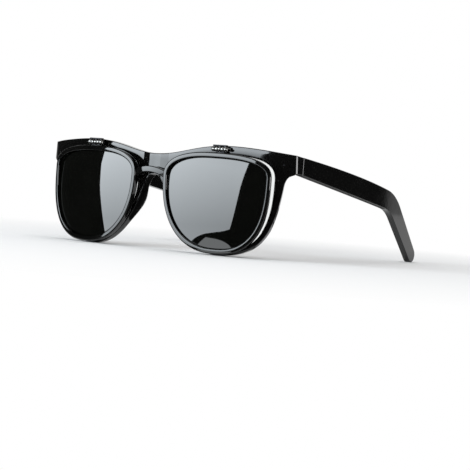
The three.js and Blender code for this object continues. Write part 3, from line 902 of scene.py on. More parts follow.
@dataclass(frozen=True)
class Eye:
    """A lens outline of four quarter superellipses that meet at its top, side, foot and nose points."""

    side: float
    nose: float
    top: float
    foot: float
    top_at: float
    foot_at: float
    side_at: float
    nose_at: float
    powers: tuple[float, float, float, float]
    fine: int = 200

    def outline(self, count: int) -> list[Vector]:
        """The outline as evenly spaced points.

        Args:
            count: Points wanted.

        Returns:
            Points as x and z, from the top towards the side.
        """
        quarters = (
            (self.top_at, self.side_at, self.side, self.top, True),
            (self.foot_at, self.side_at, self.side, self.foot, False),
            (self.foot_at, self.nose_at, self.nose, self.foot, True),
            (self.top_at, self.nose_at, self.nose, self.top, False),
        )
        points = []
        for (cx, cz, x, z, rising), power in zip(quarters, self.powers):
            for k in range(self.fine):
                angle = k / self.fine * math.pi / 2
                swing, fall = math.sin(angle) ** (2 / power), math.cos(angle) ** (2 / power)
                u, v = (swing, fall) if rising else (fall, swing)
                points.append(Vector((cx + (x - cx) * u, cz + (z - cz) * v)))
        return evenly(points, count)


DARK_EYE = Eye(side=61.8, nose=10.4, top=18.85, foot=-24.15, top_at=33.95, foot_at=37.75, side_at=9.8,
               nose_at=9.1, powers=(2.74, 2.68, 2.23, 2.3))
FRAME_EYE = Eye(side=63.0, nose=9.9, top=20.6, foot=-24.1, top_at=38.05, foot_at=39.95, side_at=8.0,
                nose_at=9.1, powers=(3.2, 2.55, 2.2, 2.4))
EYE_CENTRE = Vector((36.05, -2.7))
ARC_STEPS = 4
ARC = tuple(math.radians(90.0 * k / ARC_STEPS) for k in range(ARC_STEPS + 1))  # angles round a soft edge


def crossing(outline: Sequence[Vector], angle: float) -> Vector:
    """Where a line from the eye's centre crosses the outline.

    Args:
        outline: A closed outline, clockwise as seen from ahead.
        angle: Direction of the line in radians from the side.

    Returns:
        The crossing.
    """
    way = Vector((math.cos(angle), math.sin(angle)))
    for k, here in enumerate(outline):
        after = outline[(k + 1) % len(outline)]
        a, b = here - EYE_CENTRE, after - EYE_CENTRE
        turn, next_turn = way.cross(a), way.cross(b)
        if turn >= 0.0 > next_turn and way.dot(a) > 0.0:
            return here.lerp(after, turn / (turn - next_turn))
    raise ValueError("no crossing")


@dataclass
class LensPair:
    """A domed lens with a V edge that sits in the groove of its rim, and its mirror image."""

    kind: str
    body: Body
    slot: Slot
    eye: Eye
    thick: float
    front: float  # edge of the lens behind the front of its rim
    standoff: float
    dome: float = 1.0
    dome_half: Pair = (25.95, 21.9)
    steps: int = 160
    shares: tuple[float, ...] = (0.04, 0.16, 0.28, 0.4, 0.52, 0.64, 0.75, 0.85, 0.93, 1.0)

    def row(self, points: Sequence[Vector], share: float, depth: float) -> list[Vector]:
        """One ring of the lens.

        Args:
            points: Outline of the lens.
            share: How far the ring is from the centre to that outline.
            depth: Depth of the lens edge.

        Returns:
            The points of the ring.
        """
        ring = []
        for point in points:
            at = EYE_CENTRE.lerp(point, share)
            fall = sum(((a - c) / half) ** 2 for a, c, half in zip(at, EYE_CENTRE, self.dome_half))
            ring.append(WRAP.at(at.x, at.y, depth - self.dome * (1.0 - fall), self.standoff))
        return ring

    def model(self) -> Mesh:
        """Models the lens of the left side.

        Returns:
            Its mesh.
        """
        outline = self.eye.outline(self.steps)
        face = offset(outline, -SEAT)
        rows = [self.row(face, share, self.front) for share in self.shares]
        rows.append(self.row(offset(outline, EDGE_REACH), 1.0, self.front + self.thick / 2))
        rows += [self.row(face, share, self.front + self.thick) for share in reversed(self.shares)]
        return skinned(rows)

    def build(self, maker: Maker) -> None:
        """Makes both lenses.

        Args:
            maker: Makes the pieces.
        """
        for side in Side:
            name = f"{side.word}_{self.kind}"
            mesh = mirrored(self.model(), side)
            maker.piece(f"{name}_polished", mesh, self.body, self.slot, name, smooth_below=LENS_SMOOTH_BELOW)


@dataclass
class FrontFrame:
    """The black moulded front with its brow, bridge, nose pads and end pieces."""

    eye: Eye = FRAME_EYE
    eye_steps: int = 720
    soft: float = 0.45  # rounding of the outer edge
    bevel: float = 0.4  # lips of the opening
    lip: float = 0.3  # share of the bevel at which its front is softened
    crown: float = 0.14  # dome of the front face
    face_rows: int = 20
    seam: float = 1e-4  # how close a point of the middle seam is to the middle
    mirror_reach: float = 1e-3  # and to its mirror image

    # Points of the outer edge, and how its curves leave their first point and come to their last
    bridge_top: float = 19.35
    bridge_foot: float = 9.5
    crest_at: float = 41.05
    brow_crest: float = 25.0
    end_top: float = 22.6
    end_foot: float = 13.8
    neck: Pair = (67.4, 8.0)  # where the rim begins under the end piece
    foot_at: float = 37.05
    waist: Pair = (7.3, 0.0)  # beside the nose pad
    brow_climb: Handles = ((13.96, 0.0), (-18.88, 0.0))
    brow_fall: Handles = ((10.0, 0.0), (-10.0, 1.1))
    neck_curve: Handles = ((-2.82, -0.5), (0.6, 3.5))
    side_curve: Handles = ((-2.7, -22.0), (22.15, 0.0))
    foot_curve: Handles = ((-13.0, 0.0), (5.5, -14.5))
    nose_curve: Handles = ((-1.0, 3.4), (3.28, 0.0))
    steps: tuple[int, ...] = (5, 36, 28, 16, 16, 48, 48, 24)

    # Bridge, pushed forward between two creases
    bulge: float = 0.78
    bulge_inside: float = 3.2
    bulge_outside: float = 7.3
    crease: float = 0.2

    # Block behind the end of the brow
    end_depth: float = 6.2
    end_flare: float = 0.42  # foot wider than the top, at the front
    joint_flare: float = 0.22  # and at the temple joint
    end_corner: float = 0.45
    end_soft: float = 0.25
    sunk: float = 0.01  # block inside the faces of the brow
    brow_slope: float = 0.11
    side_slope: float = 0.09
    wall: float = 4.0
    lap: float = 1.0  # block overlapping the brow
    land: float = 2.4  # inner face beside the joint
    buried: float = 0.5

    # Nose pads
    pad_depth: float = 4.3
    pad_length: float = 25.0
    pad_middle: float = -5.0
    pad_flare: float = 0.42
    pad_crest: float = 1.2
    crest_share: float = 0.3  # of the back face, at most
    pad_wall: tuple[float, ...] = (0.0, 0.3, 0.6, 0.85, 1.0)
    pad_slope: tuple[Pair, ...] = ((0.0, 0.96), (0.4, 0.55), (0.75, 0.16))

    def runs(self) -> list[tuple[Vector, ...]]:
        """The runs of the left half's outer edge, from the bridge along the brow and round.

        Returns:
            Control points of each run, two for a line and four for a curve.
        """
        half = WRAP.half_width
        knots = (
            (0.0, self.bridge_foot), (0.0, self.bridge_top), (self.crest_at, self.brow_crest),
            (half, self.end_top), (half + self.end_flare, self.end_foot), self.neck,
            (self.foot_at, RIM_FOOT), self.waist,
        )
        bends = (None, self.brow_climb, self.brow_fall, None, self.neck_curve, self.side_curve,
                 self.foot_curve, self.nose_curve)
        made = []
        for knot, after, bend in zip(knots, knots[1:] + knots[:1], bends):
            start, end = Vector(knot), Vector(after)
            pulls = (start + Vector(bend[0]), end + Vector(bend[1])) if bend else ()
            made.append((start, *pulls, end))
        return made

    def stations(self) -> list[tuple[Vector, Vector]]:
        """Points round the outer edge.

        Returns:
            Each point with its mitred way inwards.
        """
        runs = self.runs()

        def edge(run: int, share: float) -> tuple[Vector, Vector]:
            """A point of a run and the way inwards from it, which the middle wall doesn't have."""
            at, along = on_curve(runs[run], share)
            return at, Vector((along.y, -along.x)) if run % len(runs) else Vector((0.0, 0.0))

        made = []
        for run, count in enumerate(self.steps):
            for k in range(count):
                at, inward = edge(run, k / count)
                if k == 0:
                    _, before = edge(run - 1, 1.0)
                    inward = (inward + before) / (1.0 + inward.dot(before))
                made.append((at, inward))
        return made

    def ways(self, stations: Sequence[tuple[Vector, Vector]]) -> list[float]:
        """Directions from the eye's centre to the stations, spread evenly round the bridge so none cross.

        Args:
            stations: Points round the outer edge.

        Returns:
            One angle in radians for each.
        """
        outer = [at for at, _ in stations]
        angles = [math.atan2(at.y - EYE_CENTRE.y, at.x - EYE_CENTRE.x) for at in outer]
        count = len(outer)
        first, last = count - self.steps[-1], count + self.steps[0]
        reach = [0.0]
        for k in range(first, last):
            reach.append(reach[-1] + (outer[(k + 1) % count] - outer[k % count]).length)
        begin, finish = angles[first], angles[last % count]
        for k in range(first, last + 1):
            angles[k % count] = begin + (finish - begin) * reach[k - first] / reach[-1]
        return angles

    def pad_rise(self, outer: Vector) -> float:
        """How far the nose pad stands behind the frame.

        Args:
            outer: A point of the outer edge.

        Returns:
            The height of the pad there.
        """
        away = abs(outer.y - self.pad_middle) / (self.pad_length / 2)
        inner_side = 0.0 < outer.x < EYE_CENTRE.x / 2
        return self.pad_depth * math.cos(away * math.pi / 2) ** 2 if inner_side and away < 1.0 else 0.0

    def section(self, inner: Vector, outer: Vector, inward: Vector) -> list[Vector]:
        """One section through the rim, round from the front lip to the lens groove.

        Args:
            inner: Point on the lens opening.
            outer: Point on the outer edge.
            inward: Mitred way inwards from it.

        Returns:
            The points of the section.
        """
        across = (outer - inner).normalized()

        def at(reach: float, depth: float) -> Vector:
            """A point a reach from the opening."""
            flat = inner + across * reach
            return WRAP.at(flat.x, flat.y, depth)

        def inset(distance: float, depth: float, back: float = 0.0) -> Vector:
            """A point in from the outer edge, and further back towards the opening."""
            flat = outer + inward * distance - across * back
            return WRAP.at(flat.x, flat.y, depth)

        soft, bevel, crown = self.soft, self.bevel, self.crown
        rise = self.pad_rise(outer)
        flare = self.pad_flare * rise
        face = (outer - inner).length - soft - bevel
        back = face - flare
        back -= min(self.pad_crest, back * self.crest_share)
        shares = [k / self.face_rows for k in range(self.face_rows)]
        points = [at(bevel + face * share, crown * (2.0 * share - 1.0) ** 2) for share in shares]
        for a in ARC:
            points.append(inset(soft * (1.0 - math.sin(a)), crown + (soft - crown) * (1.0 - math.cos(a))))
        points.append(inset(0.0, FRAME_DEPTH / 2))
        for share in self.pad_wall:
            depth = FRAME_DEPTH - soft + (rise + soft) * (1.0 - (1.0 - share) ** 2)
            points.append(inset(soft * share ** 2, depth, flare * share ** 2))
        for share, height in self.pad_slope:
            points.append(at(bevel + back * (1.0 - share), FRAME_DEPTH + rise * height))
        lips = [
            (bevel, FRAME_DEPTH), (0.0, FRAME_DEPTH - bevel), *groove_section(FRAME_DEPTH / 2, CLEAR_THICK),
            (0.0, bevel + crown), (bevel * self.lip, bevel * self.lip + crown),
        ]
        return points + [at(*spot) for spot in lips]

    def push_bridge(self, mesh: Mesh) -> None:
        """Cuts the faces along the bridge's two creases and pushes the bridge forward between them.

        Args:
            mesh: The left half of the front.
        """
        for edge in (self.bulge_inside, self.bulge_outside):
            for aside in (-self.crease, 0.0, self.crease):
                bmesh.ops.bisect_plane(mesh, geom=mesh.verts[:] + mesh.edges[:] + mesh.faces[:], dist=CLOSE,
                                       plane_co=(edge + aside, 0.0, 0.0), plane_no=(1.0, 0.0, 0.0))
        for vertex in mesh.verts:
            share = (self.bulge_outside - vertex.co.x) / (self.bulge_outside - self.bulge_inside)
            depth = vertex.co.y - WRAP.sag(vertex.co.x)
            vertex.co.y -= self.bulge * min(1.0, max(0.0, share)) * max(0.0, 1.0 - depth / FRAME_DEPTH)

    def end_block(self) -> Mesh:
        """Models the block behind the end of the brow that carries the side face and the temple joint.

        Returns:
            Its closed mesh.
        """
        half, sag = WRAP.half_width, WRAP.sag
        inside = half - self.wall
        near, far = inside - self.lap, inside - 2.0 * self.lap
        joint = sag(half) + self.end_depth
        corner, sunk = self.end_corner, self.sunk

        def plan(share: float) -> list[Pair]:
            """Corners of the block seen from above.

            Args:
                share: Share of the block's height.

            Returns:
                The corners as x and y.
            """
            side, back = (half + (1.0 - share) * flare for flare in (self.end_flare, self.joint_flare))
            return [
                (near, sag(near) + self.lap), (side - corner, sag(side - corner) + sunk),
                (side - sunk, sag(side) + corner), (back - sunk, joint), (inside, joint),
                (inside, joint - self.land), (far, sag(far) + FRAME_DEPTH - self.buried),
            ]

        def level(x: float, y: float, share: float) -> float:
            """Height of a corner, between the flat foot and a top that follows brow and temple."""
            fall = self.side_slope * max(0.0, y - sag(half)) - self.brow_slope * (half - x)
            return self.end_foot + sunk + share * (self.end_top - self.end_foot - 2.0 * sunk - fall)

        mesh = skinned([[Vector((x, y, level(x, y, share))) for x, y in plan(share)] for share in (0.0, 1.0)])
        return rounded(mesh, mesh.edges[:], self.end_soft)

    def build(self, maker: Maker) -> None:
        """Models the whole front and makes the piece.

        Args:
            maker: Makes the piece.
        """
        opening = self.eye.outline(self.eye_steps)
        stations = self.stations()
        sections = [
            self.section(crossing(opening, angle), at, inward)
            for (at, inward), angle in zip(stations, self.ways(stations))
        ]
        half = joined(skinned(list(zip(*sections)), endless=True), self.end_block())
        self.push_bridge(half)
        middle = [f for f in half.faces if all(abs(v.co.x) < self.seam for v in f.verts)]
        bmesh.ops.delete(half, geom=middle, context="FACES")
        bmesh.ops.mirror(half, geom=half.verts[:] + half.edges[:] + half.faces[:], axis="X",
                         merge_dist=self.mirror_reach)
        bmesh.ops.remove_doubles(half, verts=half.verts[:], dist=self.seam)
        maker.piece("front_moulding", settled(half), Body.FRAME, Slot.BLACK, "front_frame")


@dataclass
class FlipFrame:
    """The slim second front: two rims and an arched bar between them."""

    eye: Eye = DARK_EYE
    depth: float = 3.4
    rim: float = 2.1
    taller: float = 0.17  # share by which the rim is wider at its top and foot
    taper: float = 0.08  # rim narrower at the back
    soft: float = 0.55
    bevel: float = 0.4
    lip: float = 0.62
    lip_depth: float = 0.45
    back_lip: float = 0.1
    tilt: float = 0.07  # front face falling back outwards
    back_edge: tuple[Pair, ...] = ((0.0, 1.0), (0.15, 0.3), (0.5, 0.0))
    steps: int = 200
    bar_height: float = 3.2
    bar_depth: float = 2.4
    bar_arch: float = 2.3
    bar_bulge: float = 1.2
    bar_soft: float = 0.6
    bar_lap: float = 0.6  # share of the rim that the bar runs into
    bar_steps: int = 24
    corner_steps: int = 3

    def rim_rows(self) -> list[list[Vector]]:
        """Draws the left rim.

        Returns:
            Rows round the opening, one for each point of the rim's section.
        """
        soft, deep = self.soft, self.depth
        back = self.rim - self.taper
        section = [(self.lip, 0.0), ((self.lip + self.rim - soft) / 2, self.tilt / 2)]
        for a in ARC:
            section.append((self.rim - soft * (1.0 - math.sin(a)), self.tilt + soft * (1.0 - math.cos(a))))
        section += [(back - soft * inwards, deep - soft * short) for inwards, short in self.back_edge]
        section += [(self.bevel, deep), (0.0, deep - self.back_lip)]
        section += groove_section(DARK_RECESS + DARK_THICK / 2, DARK_THICK)
        section += [(self.lip * (1.0 - math.cos(a)), self.lip_depth * (1.0 - math.sin(a))) for a in ARC[:-1]]
        inner = self.eye.outline(self.steps)
        return [[WRAP.at(p.x, p.y, depth, FLIP_STANDOFF) for p in offset(inner, reach, self.taller)]
                for reach, depth in section]

    def bar_profile(self) -> list[Pair]:
        """Draws the bar's section with its rounded corners.

        Returns:
            Points as height above the bar's middle and depth behind its front.
        """
        high, deep, soft = self.bar_height / 2, self.bar_depth, self.bar_soft
        over, under, back = high - soft, soft - high, deep - soft
        corners = ((over, soft), (over, back), (under, back), (under, soft))
        profile = []
        for quarter, (up, depth) in enumerate(corners):
            for step in range(self.corner_steps + 1):
                a = math.pi / 2 * (quarter + step / self.corner_steps)
                profile.append((up + soft * math.sin(a), depth - soft * math.cos(a)))
        return profile

    def bar(self) -> Mesh:
        """Models the arched bar, long enough to end inside the rims.

        Returns:
            Its closed mesh.
        """
        reach = self.eye.nose - self.rim * self.bar_lap
        front = (self.depth - self.bar_depth) / 2
        rows = []
        for k in range(self.bar_steps + 1):
            share = 2.0 * k / self.bar_steps - 1.0
            swell = 1.0 - share ** 2
            lean = math.atan2(-2.0 * self.bar_arch * share, reach)
            level = self.eye.nose_at + self.bar_arch * swell
            row = []
            for up, depth in self.bar_profile():
                x = share * reach - up * math.sin(lean)
                spot = WRAP.at(abs(x), level + up * math.cos(lean), front + depth, FLIP_STANDOFF)
                row.append(Vector((math.copysign(spot.x, x), spot.y - self.bar_bulge * swell, spot.z)))
            rows.append(row)
        return skinned(rows)

    def build(self, maker: Maker) -> None:
        """Models both rims and the bar as one moulding.

        Args:
            maker: Makes the piece.
        """
        whole = self.bar()
        for side in Side:
            whole = joined(whole, mirrored(skinned(self.rim_rows(), endless=True), side))
        maker.piece("flip_up_moulding", settled(whole), Body.FLIP_FRONT, Slot.BLACK, "flip_frame")


@dataclass
class FlipHinge:
    """A brow hinge, drawn from the middle of its pin: a dark leaf, a plated leaf and the pin."""

    at: Triple = (36.75, -0.71, 23.1)
    length: float = 8.2
    knuckles: int = 5
    apart: float = 0.36
    barrel: float = 1.15
    pin: float = 0.5
    gap: float = 0.25
    knuckle_soft: float = 0.12
    knuckle_round: float = 0.3  # share of that rounding where its middle lies
    leaf: float = 0.6
    plate_half: float = 3.6
    plate_reach: float = 6.0
    plate_soft: float = 0.15
    crank: float = 1.6
    flush: float = 1.42
    web_foot: float = 0.7  # share of the barrel where the webs under the plate begin
    foot_half: float = 2.5
    foot_front: float = -0.05
    foot_length: float = 0.5
    rim_top: float = -1.8
    leg_top: float = -0.2
    sink: float = 0.1  # webs run into the plate
    foot_soft: float = 0.1
    soft: float = 0.08
    cap: tuple[Pair, ...] = ((0.0, 1.0), (0.45, 0.92), (0.8, 0.65), (1.0, 0.2), (1.0, 0.0))
    cap_width: float = 0.8
    cap_height: float = 0.7

    def span(self, place_in: int) -> Pair:
        """Start and end of a knuckle along the pin.

        Args:
            place_in: Its place, counted from the nose side.

        Returns:
            Both distances from the middle of the pin.
        """
        width = self.length / self.knuckles
        start = (place_in - self.knuckles / 2) * width
        return start + self.apart / 2, start + width - self.apart / 2

    def knuckle(self, place_in: int) -> Mesh:
        """Models one bored knuckle with softened rims.

        Args:
            place_in: Its place, counted from the nose side.

        Returns:
            Its closed mesh.
        """
        low, high = self.span(place_in)
        bore, out, soft = self.pin + self.gap, self.barrel, self.knuckle_soft
        bend = soft * self.knuckle_round
        profile = [
            (bore, low), (out - soft, low), (out - bend, low + bend), (out, low + soft), (out, high - soft),
            (out - bend, high - bend), (out - soft, high), (bore, high), (bore, low),
        ]
        return turned(profile, Vector((1, 0, 0)))

    @staticmethod
    def marked(mesh: Mesh) -> Mesh:
        """Gives all faces the piece's second finish.

        Args:
            mesh: The mesh.

        Returns:
            The same mesh.
        """
        for face in mesh.faces:
            face.material_index = 1
        return mesh

    def brow_leaf(self) -> Mesh:
        """Models the leaf on the brow: a plate with three knuckles under its front edge.

        Returns:
            Its mesh.
        """
        foot, wide, half = self.barrel + self.gap, self.plate_half, self.barrel / 2
        back = self.crank - self.leaf
        parts = [
            block((-wide, -half, foot), (wide, self.crank, foot + self.leaf), self.plate_soft),
            block((-wide, back, foot - self.leaf / 2), (wide, self.plate_reach, self.flush), self.soft),
        ]
        for place_in in range(0, self.knuckles, 2):
            low, high = self.span(place_in)
            web_low = (max(low, -wide), -half, self.barrel * self.web_foot)
            web_high = (min(high, wide), half, foot + self.sink)
            parts += [block(web_low, web_high, self.soft), self.marked(self.knuckle(place_in))]
        return gathered(parts)

    def rim_leaf(self) -> Mesh:
        """Models the leaf on the flip-up rim: two knuckles on legs above a sunk foot.

        Returns:
            Its mesh.
        """
        foot_low = (-self.foot_half, self.foot_front, self.rim_top - self.foot_length)
        foot_high = (self.foot_half, self.foot_front + self.leaf, -self.barrel - self.gap)
        parts = [self.marked(block(foot_low, foot_high, self.foot_soft))]
        for place_in in range(1, self.knuckles, 2):
            start, end = self.span(place_in)
            leg = block((start, self.foot_front, self.rim_top), (end, self.barrel, self.leg_top), self.soft)
            parts += [self.knuckle(place_in), self.marked(leg)]
        return gathered(parts)

    def rod(self) -> Mesh:
        """Models the pin with a domed head at each end.

        Returns:
            Its closed mesh.
        """
        end = (self.length + self.gap) / 2
        head, thick = self.barrel * self.cap_width, self.pin * self.cap_height
        profile = [(head * out, -end - thick * up) for out, up in self.cap] + [(self.pin, -end)]
        return turned(profile + [(radius, -along) for radius, along in reversed(profile)], Vector((1, 0, 0)))

    def build(self, maker: Maker) -> None:
        """Makes the three pieces of both hinges.

        Args:
            maker: Makes the pieces.
        """
        recipes = (
            ("flip_hinge_frame_leaf", self.brow_leaf, Body.FRAME, Slot.STEEL, Slot.NICKEL),
            ("flip_hinge_rim_leaf", self.rim_leaf, Body.FLIP_FRONT, Slot.NICKEL, Slot.STEEL),
            ("flip_hinge_pin", self.rod, Body.FRAME, Slot.NICKEL, None),
        )
        for side in Side:
            for kind, model, body, slot, accent in recipes:
                mesh = mirrored(shifted(model(), self.at), side)
                name = f"{side.word}_{kind}"
                maker.piece(f"{name}_finished", mesh, body, slot, name, accent=accent)


@dataclass
class Temple:
    """A flat temple, drawn from the side, that broadens to a bend and slopes down from there to its tip."""

    joint: float = 18.45
    top: float = 22.1
    height: float = 8.5
    bend_height: float = 10.2
    tip_height: float = 8.0
    thick: float = 4.0
    tip_thick: float = 3.4
    upper_pull: Pair = (78.1, 17.5)  # points that the long edges lean towards
    lower_pull: Pair = (96.8, 3.4)
    bend_at: Pair = (113.3, 11.3)
    bend_slope: float = 9.5
    bend_radius: float = 26.0
    droop: float = 43.6
    soft: float = 0.3
    soft_steps: int = 4
    sharp_above: float = 60.0  # edges that bend by more degrees are rounded
    steps: int = 24

    def outline(self) -> list[Vector]:
        """The side outline.

        Returns:
            Points as y and z: joint, lower edge, tip and upper edge.
        """
        slope, droop, quarter = math.radians(self.bend_slope), math.radians(self.droop), math.pi / 2
        broad, tip = self.bend_height / 2, self.tip_height / 2
        bend = Vector(self.bend_at)
        square = Vector((math.sin(slope), math.cos(slope)))
        centre = bend - square * (self.bend_radius + broad)
        end = centre + Vector((math.sin(droop), math.cos(droop))) * self.bend_radius
        length = (end.y - RIM_FOOT - tip) / math.sin(droop)
        tip_centre = end + Vector((math.cos(droop), -math.sin(droop))) * length
        head = Vector((self.joint, self.top))
        foot = Vector((self.joint, self.top - self.height))
        shares = [k / self.steps for k in range(self.steps + 1)]

        def arc(at: Vector, radius: float, first: float, last: float) -> list[Vector]:
            """Points on an arc between two angles."""
            angles = (first + (last - first) * share for share in shares)
            return [at + Vector((math.cos(a), math.sin(a))) * radius for a in angles]

        def bow(first: Vector, pull: Vector, last: Vector) -> list[Vector]:
            """Points on a curve between two ends that leans towards a third point."""
            return [on_curve((first, pull, last), share)[0] for share in shares[:-1]]

        return [
            *bow(foot, Vector(self.lower_pull), bend - square * self.bend_height),
            *arc(centre, self.bend_radius - broad, quarter - slope, quarter - droop),
            *arc(tip_centre, tip, -quarter - droop, quarter - droop),
            *arc(centre, self.bend_radius + broad, quarter - droop, quarter - slope)[:-1],
            *bow(bend, Vector(self.upper_pull), head),
            head,
        ]

    def model(self) -> Mesh:
        """Models the left temple: the outline is extruded, thinned towards the tip and rounded.

        Returns:
            Its closed mesh.
        """
        outline = self.outline()
        last = max(p.x for p in outline)
        mesh = filled([Vector((WRAP.half_width, p.x, p.y)) for p in outline])
        made = bmesh.ops.extrude_face_region(mesh, geom=mesh.faces[:])["geom"]
        for vertex in (item for item in made if isinstance(item, bmesh.types.BMVert)):
            share = (vertex.co.y - self.joint) / (last - self.joint)
            vertex.co.x -= self.thick + (self.tip_thick - self.thick) * share
        settled(mesh)
        rims = [e for e in mesh.edges if e.calc_face_angle(0.0) > math.radians(self.sharp_above)]
        return rounded(mesh, rims, self.soft, self.soft_steps)

    def build(self, maker: Maker) -> None:
        """Makes both temples.

        Args:
            maker: Makes the pieces.
        """
        for side in Side:
            name = f"{side.word}_temple"
            maker.piece(f"{name}_moulding", mirrored(self.model(), side), side.arm, Slot.BLACK, name)


@dataclass
class EndRivet:
    """The small rivet through the end piece, its domed head just proud of the front."""

    x: float = 66.9
    z: float = 17.6
    sunk: float = 0.08
    head: float = 0.62
    head_thick: float = 0.3
    dome: float = 0.15
    dome_shape: tuple[Pair, ...] = ((0.0, 1.0), (0.5, 0.8), (0.85, 0.35), (1.0, 0.0))
    shank: float = 0.5
    length: float = 5.4

    def build(self, maker: Maker) -> None:
        """Makes both rivets, square to the front where they stand.

        Args:
            maker: Makes the pieces.
        """
        profile = [(self.head * out, -self.dome * up) for out, up in self.dome_shape]
        profile += [(self.head, self.head_thick), (self.shank, self.head_thick), (self.shank, self.length),
                    (0.0, self.length)]
        turn = Matrix.Rotation(WRAP.lean(self.x), 3, "Z")
        for side in Side:
            mesh = turned(profile, Vector((0, 1, 0)))
            bmesh.ops.rotate(mesh, cent=(0, 0, 0), matrix=turn, verts=mesh.verts[:])
            shifted(mesh, WRAP.at(self.x, self.z, self.sunk))
            name = f"{side.word}_end_piece_rivet"
            maker.piece(f"{name}_finished", mirrored(mesh, side), Body.FRAME, Slot.STEEL, name)


@dataclass
class SmallMetal:
    """The temple hinges, which keep their CAD shapes with softened edges."""

    soft: float = 0.08
    kinds: tuple[str, ...] = ("temple_hinge_front_leaf", "temple_hinge_arm_leaf", "temple_hinge_screw")

    def build(self, maker: Maker) -> None:
        """Dresses the CAD nodes.

        Args:
            maker: Dresses each node.
        """
        for side in Side:
            for kind in self.kinds:
                maker.dress(f"{side.word}_{kind}", Slot.NICKEL, self.soft)


# Studio


def staged(name: str, mesh: Mesh, material: Material) -> bpy.types.Object:
    """Adds a piece of the studio.

    Args:
        name: Name of the piece.
        mesh: Its mesh in metres, which is freed.
        material: Its material.

    Returns:
        The object, marked as not part of the spectacles.
    """
    made = shown(stored(mesh, name), name)
    made.data.materials.append(material)
    made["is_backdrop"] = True
    return made


def towards(azimuth: float, elevation: float) -> Vector:
    """The unit vector of a direction in degrees, with azimuth 0 ahead of the spectacles."""
    a, e = math.radians(azimuth), math.radians(elevation)
    return Vector((math.sin(a) * math.cos(e), -math.cos(a) * math.cos(e), math.sin(e)))


@dataclass
class Panel:
    """A flat light panel, given by directions from the spectacles as azimuth and elevation in degrees.

    Its edge goes on from point to point: a stretch of one point is a line to it, and one of three
    points is a curve to the last.
    """

    name: str
    edge: tuple[tuple[Pair, ...], ...]
    facing: Pair  # direction that the panel is square to
    low: float  # strength at its foot and at its top
    high: float
    fade: Pair = (-0.12, 0.25)  # heights of that foot and top
    across: Pair = (-0.72, -0.16)  # its sides, and the gain at each
    gain: Pair = (1.0, 1.0)
    colour: Triple = (1.0, 1.0, 1.0)
    lights: bool = True  # False where it only shows in mirrors
    distance: float = 1.3
    centre: Triple = (0.0, -0.075, 0.027)
    curve_steps: int = 12

    def outline(self) -> list[Vector]:
        """Draws the panel's edge.

        Returns:
            Points as azimuth and elevation.
        """
        points = []
        here = Vector(self.edge[-1][-1])
        for stretch in self.edge:
            control = [here, *(Vector(point) for point in stretch)]
            steps = 1 if len(stretch) == 1 else self.curve_steps
            points += [on_curve(control, k / steps)[0] for k in range(steps)]
            here = control[-1]
        return points

    def glow(self) -> Material:
        """Makes the glowing material, dimmer at the panel's foot than at its top and uneven across it.

        Returns:
            The material.
        """
        material, tree = empty_material(self.name)
        split = tree.nodes.new("ShaderNodeSeparateXYZ")
        tree.links.new(tree.nodes.new("ShaderNodeTexCoord").outputs["Object"], split.inputs["Vector"])
        level = ranged(tree, split.outputs["Z"], self.fade, (self.low, self.high))
        aside = ranged(tree, split.outputs["X"], self.across, self.gain)
        light = tree.nodes.new("ShaderNodeEmission")
        light.inputs["Color"].default_value = (*self.colour, 1.0)
        tree.links.new(worked(tree, "MULTIPLY", level, aside), light.inputs["Strength"])
        out = tree.nodes.new("ShaderNodeOutputMaterial")
        tree.links.new(light.outputs["Emission"], out.inputs["Surface"])
        return material

    def build(self) -> None:
        """Makes the panel, which the camera itself doesn't see."""
        middle = towards(*self.facing)
        ways = [towards(*point) for point in self.outline()]
        points = [way * (self.distance / way.dot(middle)) + Vector(self.centre) for way in ways]
        made = staged(self.name, filled(points), self.glow())
        made.visible_camera = made.visible_shadow = False
        made.visible_diffuse = self.lights


KEY_PANEL = Panel(
    "key_panel",
    edge=(
        ((-24.2, -10.5),),
        ((-18.7, -7.7), (-12.4, -8.8), (-6.6, -7.1)),
        ((-3.3, 0.5), (-4.2, 3.6), (-1.3, 10.3)),
        ((-1.1, 13.5),),
        ((-0.6, 26.0),),
        ((-48.2, 26.0),),
        ((-49.7, 9.2),),
        ((-50.3, 6.5),),
        ((-49.1, -0.5), (-46.3, -7.2), (-44.5, -14.0)),
    ),
    facing=(-23.0, 0.2), low=5.6, high=9.4, gain=(1.11, 0.95), colour=(0.88, 0.95, 1.0))
SIDE_PANEL = Panel(
    "side_panel",
    edge=(((112.0, -0.5),), ((112.0, 9.0),), ((52.0, 9.0),), ((52.0, -0.5),)),
    facing=(82.0, 4.9), low=7.6, high=9.4, lights=False)
LOW_CARD = Panel(
    "low_card",
    edge=(
        ((-21.1, -11.3),),
        ((-17.7, -9.6),),
        ((-13.5, -10.0), (-9.7, -9.8), (-5.9, -11.9)),
        ((-5.2, -20.0),),
        ((-22.2, -20.0),),
    ),
    facing=(-13.9, -12.8), low=2.7, high=2.7, colour=(0.94, 0.98, 1.0))
TOP_PANEL = Panel(
    "top_panel",
    edge=(((0.0, 62.0),), ((90.0, 62.0),), ((180.0, 62.0),), ((-90.0, 62.0),)),
    facing=(0.0, 90.0), low=2.4, high=2.4)


